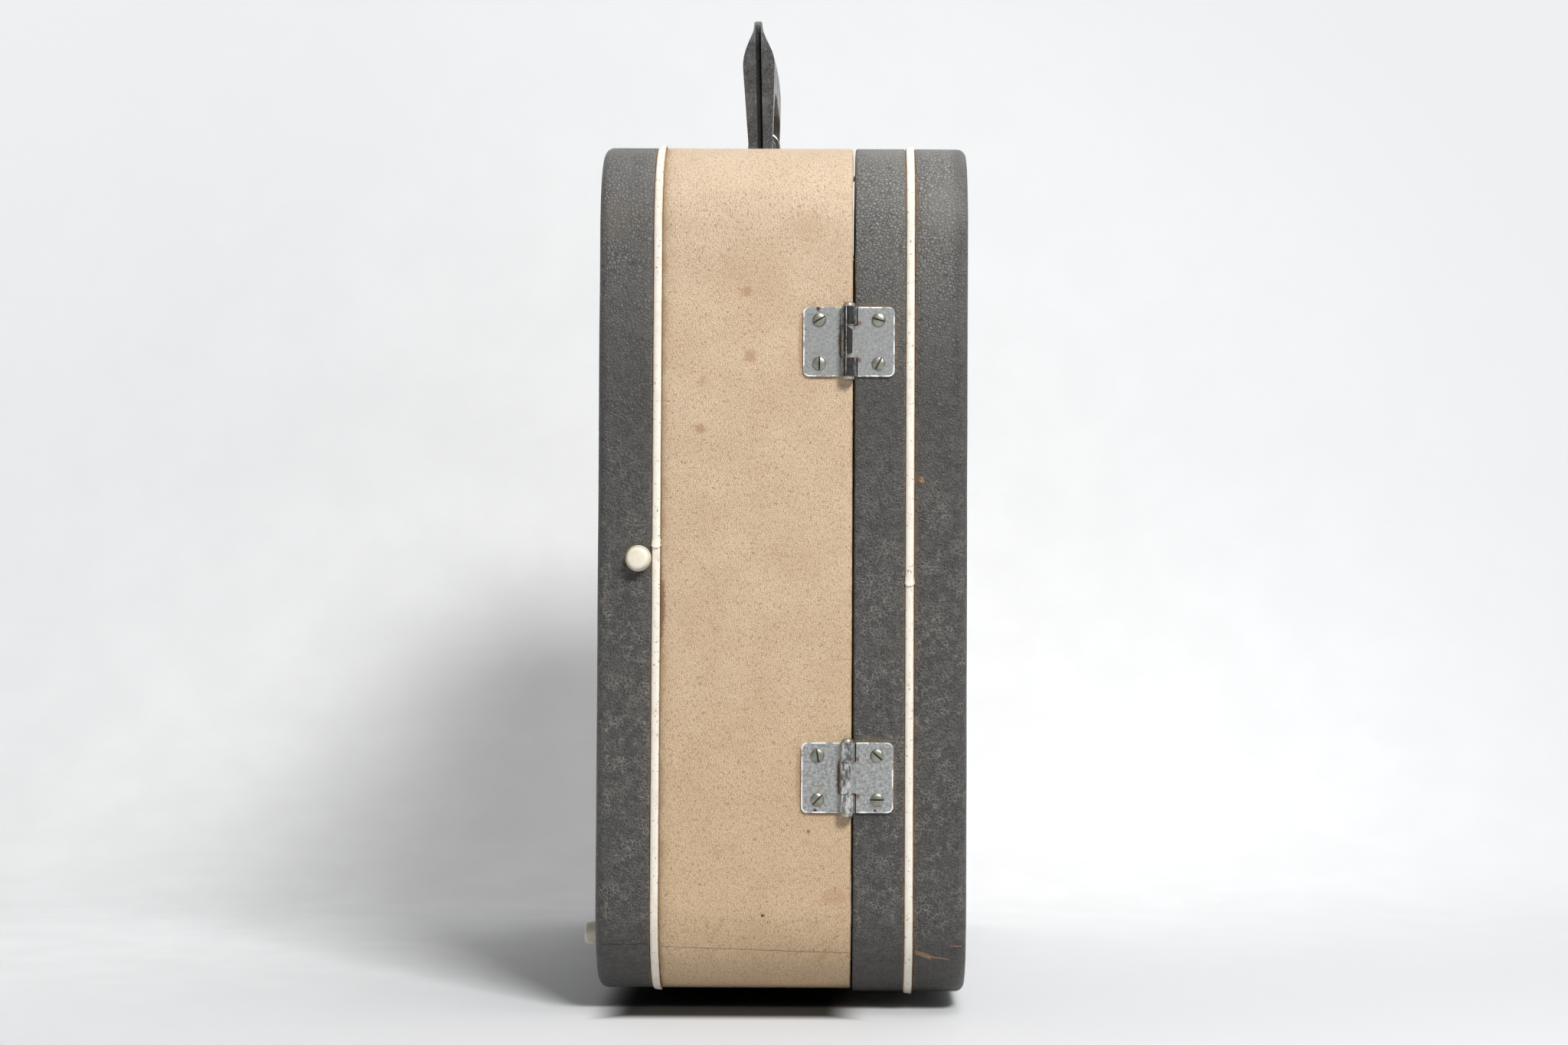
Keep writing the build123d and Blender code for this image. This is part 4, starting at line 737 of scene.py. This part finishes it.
def wood_look(name, light, dark, fineness):
    look, tree, shader, place = material_named(name, 0.65)
    grain = use_group(tree, "wood grain", place, Fineness=fineness)
    colour = between(tree, ramp(tree, grain["Rings"], 0.35, 0.65), light, dark)
    colour = between(tree, product(tree, grain["Pores"], 0.4), colour, WOOD_PORES)
    feed(shader, Base_Color=colour)
    give_relief(tree, shader, grain["Rings"], 0.25, 0.0002)
    return look


def dress(nodes, look):
    """Give CAD nodes whose shape is right their finish."""
    for name in nodes:
        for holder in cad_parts[name].material_slots:
            holder.material = look


plywood = wood_look("plywood", *PLYWOOD, 60.0)
softwood = wood_look("softwood", *SOFTWOOD, 110.0)
dress(["body_large_panel", "lid_large_panel", "rim_tongue_strips"], plywood)
for shell in ("body", "lid"):
    dress([f"{shell}_{side}_board" for side in ("hinge_side", "latch_side", "bottom", "top")], softwood)
    dress([f"{shell}_corner_posts"], softwood)
dress(["machine_rest_blocks", "clip_blocks"], softwood)


# ---- lining ----
# Thin brown cloth with a short nap, pasted into each shell as a tray, its folds softly rounded.
LINING_BROWN = (0.125, 0.082, 0.052)
FADED_LINING = (0.175, 0.122, 0.082)
LINING_SPECK = (0.075, 0.05, 0.035)
LINING_THICKNESS = 0.6 * mm
LINING_CORNER = 28.2 * mm
LINING_FOLD = 1.6 * mm

tree, given, result = group_named("nap", {"Size": 0.0007}, ["Height", "Specks"])
flat = given.outputs["Place"]
finer = sums(tree, "DIVIDE", 1.0, given.outputs["Size"])
tufts = add(tree, "ShaderNodeTexVoronoi", {"feature": "SMOOTH_F1"}, Vector=flat, Scale=finer)
grit = noise(tree, flat, finer, 3.0, 0.7)
height = sums(tree, "SUBTRACT", 1.0, tufts.outputs["Distance"])
feed(result, Height=height, Specks=ramp(tree, grit, 0.55, 0.75))

lining_look, tree, shader, place = material_named("lining cloth", 0.9)
weave = use_group(tree, "nap", place, Size=0.0006)
colour = between(tree, blotches(tree, place, 0.05, 0.4, 0.75), LINING_BROWN, FADED_LINING)
colour = between(tree, product(tree, weave["Specks"], 0.5), colour, LINING_SPECK)
feed(shader, Base_Color=colour, Sheen_Weight=0.35, Sheen_Roughness=0.5)
give_relief(tree, shader, weave["Height"], 0.4, 0.0002)

for body in ("body", "lid"):
    low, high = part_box(f"{body}_lining")
    open_x = high.x if body == "body" else low.x
    tray = shell_block(f"{body}_lining_cloth", low, high, LINING_CORNER, open_x)
    choose(tray, "edges", lambda e: len(e.link_faces) == 2)
    bpy.ops.mesh.bevel(offset=LINING_FOLD, segments=3)
    cut_flats(low, high, 0.0, 14 * mm)
    cut(ACROSS, steps(low.x, high.x, 12 * mm))
    glue_down(tray, 30 * mm, 0.35 * mm, LINING_THICKNESS)
    covers(tray, body, f"{body}_lining", lining_look)


# ---- studs ----
# Turned ivory-coloured plastic studs that the case stands or lies on, each nailed through its middle
# before the nail's head is moulded over. Their plastic is stained in patches.
IVORY = (0.77, 0.72, 0.60)
STAINED_IVORY = (0.66, 0.58, 0.42)
STUD_FOOT = 5.4 * mm  # radius where it stands on the cloth
STUD_HEAD = 4.3 * mm
STUD_HEIGHT = 6.9 * mm

ivory, tree, shader, place = material_named("ivory plastic", 0.35)
colour = between(tree, blotches(tree, place, 0.008, 0.45, 0.7), IVORY, STAINED_IVORY)
feed(shader, Base_Color=colour, Subsurface_Weight=0.25, Subsurface_Radius=(0.003, 0.002, 0.001))


def one_stud():
    """A stud that stands on the origin and points up."""
    middle = (0, 0, STUD_HEIGHT / 2)
    bpy.ops.mesh.primitive_cone_add(
        vertices=48, radius1=STUD_FOOT, radius2=STUD_HEAD, depth=STUD_HEIGHT, location=middle)
    stud = bpy.context.active_object
    bpy.ops.object.transform_apply()
    bpy.ops.object.mode_set(mode="EDIT")
    choose(stud, "edges", lambda e: all(v.co.z > STUD_HEIGHT - 0.1 * mm for v in e.verts))
    bpy.ops.mesh.bevel(offset=1.3 * mm, segments=6)
    choose(stud, "faces", lambda f: f.normal.z > 0.999)
    bpy.ops.mesh.inset(thickness=1.1 * mm)
    bpy.ops.transform.translate(value=(0, 0, 0.08 * mm))
    choose(stud, "edges", lambda e: all(v.co.z < 0.01 * mm for v in e.verts))
    bpy.ops.mesh.bevel(offset=0.35 * mm, segments=3)
    bpy.ops.object.mode_set(mode="OBJECT")
    bpy.ops.object.shade_smooth_by_angle(angle=radians(40))
    return stud


DOWNWARDS = Matrix.Rotation(radians(180), 4, "X")
TO_LARGE_FACE = Matrix.Rotation(radians(-90), 4, "Y")
TO_HINGE_SIDE = Matrix.Rotation(radians(90), 4, "X")


def placed_copy(model, place, facing, turn=0.0):
    """A copy of a small part with its own mesh, turned and moved from the origin to its place."""
    copy = model.copy()
    copy.data = model.data.copy()
    bpy.context.scene.collection.objects.link(copy)
    copy.matrix_world = Matrix.Translation(place) @ facing @ Matrix.Rotation(radians(turn), 4, "Z")
    take(copy)
    bpy.ops.object.transform_apply()
    return copy


def stud_centres(node, axis):
    """The lowest and highest centre of a node's studs along an axis."""
    low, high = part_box(node)
    return low[axis] + STUD_FOOT, high[axis] - STUD_FOOT


stud_model = one_stud()
bottom_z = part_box("bottom_studs")[1].z
bottom_y = stud_centres("bottom_studs", ALONG)
bottom = [(x, y, bottom_z) for x in stud_centres("bottom_studs", ACROSS) for y in bottom_y]
lying_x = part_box("lying_studs")[1].x
lying_low, lying_high = stud_centres("lying_studs", UP)
lying_y = stud_centres("lying_studs", ALONG)
lying = [(lying_x, y, lying_low) for y in lying_y] + [(lying_x, sum(lying_y) / 2, lying_high)]
low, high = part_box("side_stud")
side = [((low.x + high.x) / 2, high.y, (low.z + high.z) / 2)]
for name, places, facing in (
    ("bottom_studs", bottom, DOWNWARDS),
    ("lying_studs", lying, TO_LARGE_FACE),
    ("side_stud", side, TO_HINGE_SIDE),
):
    studs = joined(f"{name}_turned", [placed_copy(stud_model, p, facing) for p in places])
    covers(studs, "body", name, ivory)
bpy.data.objects.remove(stud_model)


# ---- steel, nickel and chrome fittings ----
# Pressed steel parts with their edges eased by tumbling. Each starts as a copy of its solid, so that it
# keeps its place, and its edges are then rounded.
PIT_DARKER = 0.35
GLINT_BRIGHTER = 1.7
RUST_BROWN = (0.20, 0.085, 0.035)
WORN_AND_HIGHLIT_WHITE = (1.0, 1.0, 0.98)
HINGE_AXIS_X = 30.1 * mm
HINGES_MIDDLE_Z = 183.9 * mm
HINGE_SPACING = 88 * mm  # from that middle to each hinge's middle


def metal_look(name, light, dark, roughness, rust, metallic=1.0, size=0.004, marks=(), drawn=(1, 1, 1)):
    """A mottled metal with pits, glints and some rust, drawn out along a direction if it was rolled."""
    look, tree, shader, place = material_named(name, roughness)
    stretched = vectors(tree, "MULTIPLY", place, drawn)
    elsewhere = vectors(tree, "ADD", place, (1, 1, 1))
    mottle = blotches(tree, stretched, size, 0.35, 0.68)
    tarnish = blotches(tree, place, 0.005, 0.6, 0.74)
    pits = blotches(tree, place, 0.0006, 0.6, 0.72)
    glints = blotches(tree, elsewhere, 0.0007, 0.6, 0.7)
    pitted = tuple(PIT_DARKER * v for v in dark)
    bright = tuple(min(1, GLINT_BRIGHTER * v) for v in light)
    colour = between(tree, mottle, light, dark)
    colour = between(tree, product(tree, pits, 0.7), colour, pitted)
    colour = between(tree, product(tree, glints, 0.7), colour, bright)
    colour = between(tree, product(tree, tarnish, rust), colour, RUST_BROWN)
    colour = marked(tree, place, colour, marks)
    rougher = ramp(tree, mottle, 0.0, 1.0, roughness, roughness + 0.12)
    feed(shader, Base_Color=colour, Roughness=rougher, Metallic=metallic)
    if rust and metallic:
        feed(shader, Metallic=ramp(tree, tarnish, 0.0, 1.0, metallic, metallic * (1 - rust)))
    give_relief(tree, shader, noise(tree, stretched, 900.0, 3.0), 0.25, 0.0001)
    return look


HINGE_RUST = (
    *(((26.4, -182, z), (0.9, 3, 8), 0.85, (0.20, 0.07, 0.035)) for z in (271.9, 95.9)),
    *(((34.2, -182, z), (1.1, 3, 1.3), 0.8, (0.22, 0.08, 0.04)) for z in (279.4, 264.4, 103.4, 88.4)),
    ((17.7, -182, 285.6), (1.2, 3, 1.9), 1.0, (0.14, 0.02, 0.015)),
    ((17.3, -182, 82.2), (1.2, 3, 1.6), 1.0, (0.12, 0.03, 0.02)),
    ((41.4, -182, 82.2), (1.1, 3, 1.6), 1.0, (0.12, 0.03, 0.02)),
    ((19.5, -182, 92), (2.2, 3, 1.6), 0.5, (0.40, 0.26, 0.17)),
)
PIN_ENDS = tuple(
    ((30.1, -184.1, z), (3.5, 3.5, 2.8), 0.8, (0.15, 0.14, 0.13)) for z in (80.2, 111.6, 256.2, 287.6))
plain_steel = metal_look("plain steel", (0.42, 0.40, 0.37), (0.26, 0.24, 0.22), 0.42, 0.5)
hinge_plate = metal_look(
    "zinc-plated hinge steel", (0.56, 0.57, 0.55), (0.27, 0.28, 0.29), 0.34, 0.35, 0.75, 0.0013, HINGE_RUST)
# The rims of the plates are painted near white, partly as wear and partly as a painted highlight: how far a
# place is outside a pair's middle, less its flats.
tree = hinge_plate.node_tree
shader = tree.nodes["Principled BSDF"]
place = add(tree, "ShaderNodeTexCoord").outputs["Object"]
across, _, up = object_axes(tree, place)
from_middle = sums(tree, "ABSOLUTE", sums(tree, "SUBTRACT", up, HINGES_MIDDLE_Z))
along = sums(tree, "SUBTRACT", from_middle, HINGE_SPACING)
across = sums(tree, "SUBTRACT", across, HINGE_AXIS_X)
beyond = [
    sums(tree, "MAXIMUM", sums(tree, "SUBTRACT", sums(tree, "ABSOLUTE", way), flat), 0.0)
    for way, flat in ((across, 16.0 * mm), (along, 11.6 * mm))]
reach = length(tree, add(tree, "ShaderNodeCombineXYZ", X=beyond[0], Y=beyond[1]).outputs[0])
patchy = ramp(tree, noise(tree, place, 300.0), 0.42, 0.6, 0.1, 0.9)
worn_and_highlit = product(tree, ramp(tree, reach, 1.85 * mm, 2.2 * mm), patchy)
plain = shader.inputs["Base Color"].links[0].from_socket
feed(shader, Base_Color=between(tree, worn_and_highlit, plain, WORN_AND_HIGHLIT_WHITE))
plain = shader.inputs["Metallic"].links[0].from_socket
feed(shader, Metallic=product(tree, plain, ramp(tree, worn_and_highlit, 0.0, 1.0, 1.0, 0.2)))

rolled_steel = metal_look(
    "rolled hinge steel", (0.70, 0.70, 0.69), (0.12, 0.12, 0.12), 0.12, 0.25, size=0.0014, drawn=(1, 1, 0.4))
pin_steel = metal_look(
    "pin steel", (0.78, 0.73, 0.62), (0.42, 0.38, 0.32), 0.3, 0.35, 0.7, 0.002, PIN_ENDS, (1, 1, 0.3))
# The bevelled edges of the hinge leaves are painted near white, partly as wear and partly as a painted
# highlight.
worn_and_highlit_edge = metal_look("edge wear and painted highlight", (0.92, 0.92, 0.90), (0.62, 0.62, 0.60), 0.3, 0.3, 0.2, 0.003)
screw_nickel = metal_look("dulled nickel", (0.37, 0.37, 0.31), (0.23, 0.23, 0.19), 0.36, 0.25, 0.85, 0.002)
latch_nickel = metal_look("latch nickel", (0.62, 0.60, 0.56), (0.46, 0.44, 0.41), 0.28, 0.25)
loop_chrome = metal_look("loop chrome", (0.80, 0.80, 0.80), (0.66, 0.66, 0.66), 0.12, 0.1)
# The slots of the screws are near black.
slot_dark = metal_look("dark slot", (0.05, 0.045, 0.035), (0.025, 0.02, 0.015), 0.8, 0.0, 0.0)
# The strip in the handle's groove is near black, with little shine.
core_black = metal_look("near-black strip", (0.022, 0.021, 0.020), (0.010, 0.010, 0.010), 0.5, 0.0, 0.0)
feed(core_black.node_tree.nodes["Principled BSDF"], Specular_IOR_Level=0.15)

SCREW_RADIUS = 2.75 * mm
SCREW_RIM = 0.45 * mm
SLOT_WIDTH = 0.7 * mm
LEAF_THICKNESS = 1.1 * mm
ROLLED_WITHIN = 3.3 * mm  # of the pin's axis, a leaf is rolled


def eased_copy(node, name, look, edge, edge_look):
    """A copy of a fitting's solid, its flats made whole and its sharp edges rounded."""
    piece = bpy.data.objects.new(name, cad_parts[node].data.copy())
    piece.data.name = name
    bpy.context.scene.collection.objects.link(piece)
    take(piece)
    piece.data.materials.clear()
    piece.data.materials.append(look)
    piece.data.materials.append(edge_look)
    bpy.ops.object.mode_set(mode="EDIT")
    bpy.ops.mesh.select_all(action="SELECT")
    bpy.ops.mesh.remove_doubles(threshold=1e-6)
    bpy.ops.mesh.dissolve_limited(angle_limit=radians(1.0))
    bpy.ops.object.mode_set(mode="OBJECT")
    rounding = piece.modifiers.new("rounding", "BEVEL")
    rounding.limit_method = "ANGLE"
    rounding.angle_limit = radians(38)
    rounding.width = edge
    rounding.segments = 2
    rounding.material = 1
    bpy.ops.object.modifier_apply(modifier="rounding")
    bpy.ops.object.shade_smooth_by_angle(angle=radians(35))
    piece.modifiers.new("flats", "WEIGHTED_NORMAL").keep_sharp = True
    bpy.ops.object.modifier_apply(modifier="flats")
    return piece


def fitting(node, body, look, edge, edge_look=None):
    piece = eased_copy(node, f"{node}_eased", look, edge, edge_look or look)
    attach(piece, body)
    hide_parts(node)
    return piece


def one_screw():
    """A slotted screw head that stands on the origin, with a stub of its shank below."""
    bpy.ops.mesh.primitive_cube_add(size=1, location=(0, 0, 1.15 * mm), scale=(7 * mm, SLOT_WIDTH, 1.1 * mm))
    blade = bpy.context.active_object
    middle = (0, 0, SCREW_RIM / 2)
    bpy.ops.mesh.primitive_cylinder_add(
        vertices=40, radius=SCREW_RADIUS, depth=SCREW_RIM, location=middle, end_fill_type="NGON")
    head = bpy.context.active_object
    bpy.ops.object.transform_apply()
    bpy.ops.object.mode_set(mode="EDIT")
    choose(head, "faces", lambda f: f.normal.z > 0.9)
    for inward, rise in ((0.25, 0.3), (0.45, 0.22), (0.6, 0.13), (0.6, 0.07), (0.5, 0.03)):
        bpy.ops.mesh.inset(thickness=inward * mm)
        bpy.ops.transform.translate(value=(0, 0, rise * mm))
    choose(head, "faces", lambda f: f.normal.z < -0.9)
    bpy.ops.mesh.inset(thickness=1.4 * mm)
    bpy.ops.mesh.extrude_region_move(TRANSFORM_OT_translate={"value": (0, 0, -2 * mm)})
    bpy.ops.object.mode_set(mode="OBJECT")
    slot = head.modifiers.new("slot", "BOOLEAN")
    slot.object = blade
    bpy.ops.object.modifier_apply(modifier="slot")
    bpy.data.objects.remove(blade)
    head.data.materials.append(screw_nickel)
    head.data.materials.append(slot_dark)
    for face in head.data.polygons:
        in_slot = abs(face.center.y) < 0.36 * mm and 0.5 * mm < face.center.z < 0.95 * mm
        face.material_index = int(in_slot)
    easing = head.modifiers.new("easing", "BEVEL")
    easing.limit_method = "ANGLE"
    easing.angle_limit = radians(50)
    easing.width = 0.09 * mm
    bpy.ops.object.modifier_apply(modifier="easing")
    bpy.ops.object.shade_smooth_by_angle(angle=radians(35))
    return head


# How each hinge screw was left turned, in degrees from level: the highest screw first.
SLOTS = {"body": (30, 90, 100, 45), "lid": (-15, 62, -40, 0)}
screw_model = one_screw()
for body, turns in SLOTS.items():
    low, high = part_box(f"{body}_hinge_screws")
    leaves = [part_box(f"{height}_{body}_hinge_leaf") for height in ("upper", "lower")]
    leaf_y = leaves[0][1].y - LEAF_THICKNESS
    middle_x = (low.x + high.x) / 2
    middles = [(leaf_low.z + leaf_high.z) / 2 for leaf_low, leaf_high in leaves]
    spread = high.z - SCREW_RADIUS - middles[0]
    heights = [middle + step * spread for middle in middles for step in (1, -1)]
    heads = [
        placed_copy(screw_model, (middle_x, leaf_y, z), TO_HINGE_SIDE, turn)
        for z, turn in zip(heights, turns)]
    screws = joined(f"{body}_hinge_screws_turned", heads)
    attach(screws, body)
    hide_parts(f"{body}_hinge_screws")
bpy.data.objects.remove(screw_model)

low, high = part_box("hinge_pins")
axis_x, axis_y = (low.x + high.x) / 2, (low.y + high.y) / 2
for height in ("upper", "lower"):
    for body in ("body", "lid"):
        leaf = fitting(f"{height}_{body}_hinge_leaf", body, hinge_plate, 0.38 * mm, worn_and_highlit_edge)
        leaf.data.materials.append(rolled_steel)
        for face in leaf.data.polygons:
            off = Vector((face.center.x - axis_x, face.center.y - axis_y)).length
            if off < ROLLED_WITHIN and face.material_index == 0:
                face.material_index = 2
    fitting(f"{height}_latch_case", "body", latch_nickel, 0.25 * mm)
    fitting(f"{height}_latch_slide", f"{height}_slide", latch_nickel, 0.2 * mm)
    fitting(f"{height}_strike", "lid", latch_nickel, 0.2 * mm)
for side in ("hinge_side", "latch_side"):
    fitting(f"{side}_clip", f"{side}_hold_down", latch_nickel, 0.2 * mm)
fitting("hinge_pins", "body", pin_steel, 0.1 * mm)
for end in ("front", "rear"):
    fitting(f"{end}_handle_loop", "body", loop_chrome, 0.5 * mm)
dress(["latch_rivets", "strike_rivets"], screw_nickel)
dress(["stud_nails", "clip_screws", "loop_backing_plates", "handle_pegs"], plain_steel)
# The rim tacks take the same near-white look, painted light where they sit in the seam's shade.
dress(["rim_tacks"], worn_and_highlit_edge)
dress(["handle_core"], core_black)


# ---- handle ----
# Black moulded plastic, swelling to a comfortable grip, with a groove up the outer face of each leg
# that closes over at the top. Hands have dulled it, and dust and scratches have greyed its legs.
HANDLE_BLACK = (0.055, 0.055, 0.056)
DULLED_BLACK = (0.10, 0.099, 0.099)
HANDLE_GLINT = (0.30, 0.30, 0.29)
HANDLE_GRIME = (0.010, 0.010, 0.010)
HANDLE_DUST = (0.42, 0.39, 0.33)
EDGE_BLACK = (0.11, 0.11, 0.11)
EDGE_SCUFFED = (0.36, 0.355, 0.345)
# The groove's upper end is painted darker.
GROOVE_TOP_DARK = (((-11.0, -60, 417.5), (1.5, 10, 5.0), 0.9, HANDLE_GRIME),)  # at the groove's upper end

handle_look, tree, shader, place = material_named("handle plastic", 0.3)
across, _, up = object_axes(tree, place)
dulled = blotches(tree, place, 0.012, 0.4, 0.7)
colour = between(tree, dulled, HANDLE_BLACK, DULLED_BLACK)
glints = blotches(tree, vectors(tree, "ADD", place, (2, 2, 2)), 0.0006, 0.58, 0.66)
colour = between(tree, product(tree, glints, 0.5), colour, HANDLE_GLINT)
spots = blotches(tree, place, 0.0015, 0.57, 0.66)
colour = between(tree, product(tree, spots, 0.75), colour, HANDLE_GRIME)
dusty = ramp(tree, up, 0.358, 0.378, 0.6, 0.06)
dusty = product(tree, dusty, ramp(tree, across, -0.0095, -0.008, 0.25, 1.0))
dust = blotches(tree, vectors(tree, "ADD", place, (1, 1, 1)), 0.0005, 0.52, 0.62)
colour = between(tree, product(tree, dust, dusty), colour, HANDLE_DUST)
colour = marked(tree, place, colour, GROOVE_TOP_DARK)
feed(shader, Base_Color=colour, Roughness=ramp(tree, dulled, 0.0, 1.0, 0.26, 0.42))
give_relief(tree, shader, noise(tree, place, 1100.0, 3.0), 0.8, 0.00015)

scuffed_edge, tree, shader, place = material_named("scuffed handle edge", 0.4)
colour = between(tree, blotches(tree, place, 0.0015, 0.4, 0.6), EDGE_BLACK, EDGE_SCUFFED)
feed(shader, Base_Color=colour)
fitting("handle_grip", "handle", handle_look, 0.35 * mm, scuffed_edge)


# ---- rubber pads ----
# Black rubber discs under the feet of the machine, a little crowned.
PAD_BLACK = (0.03, 0.03, 0.03)
PAD_BLOOM = (0.065, 0.062, 0.058)

rubber, tree, shader, place = material_named("pad rubber", 0.7)
colour = between(tree, blotches(tree, place, 0.01, 0.4, 0.7), PAD_BLACK, PAD_BLOOM)
feed(shader, Base_Color=colour)
pads = fitting("machine_rest_pads", "body", rubber, 0.3 * mm)
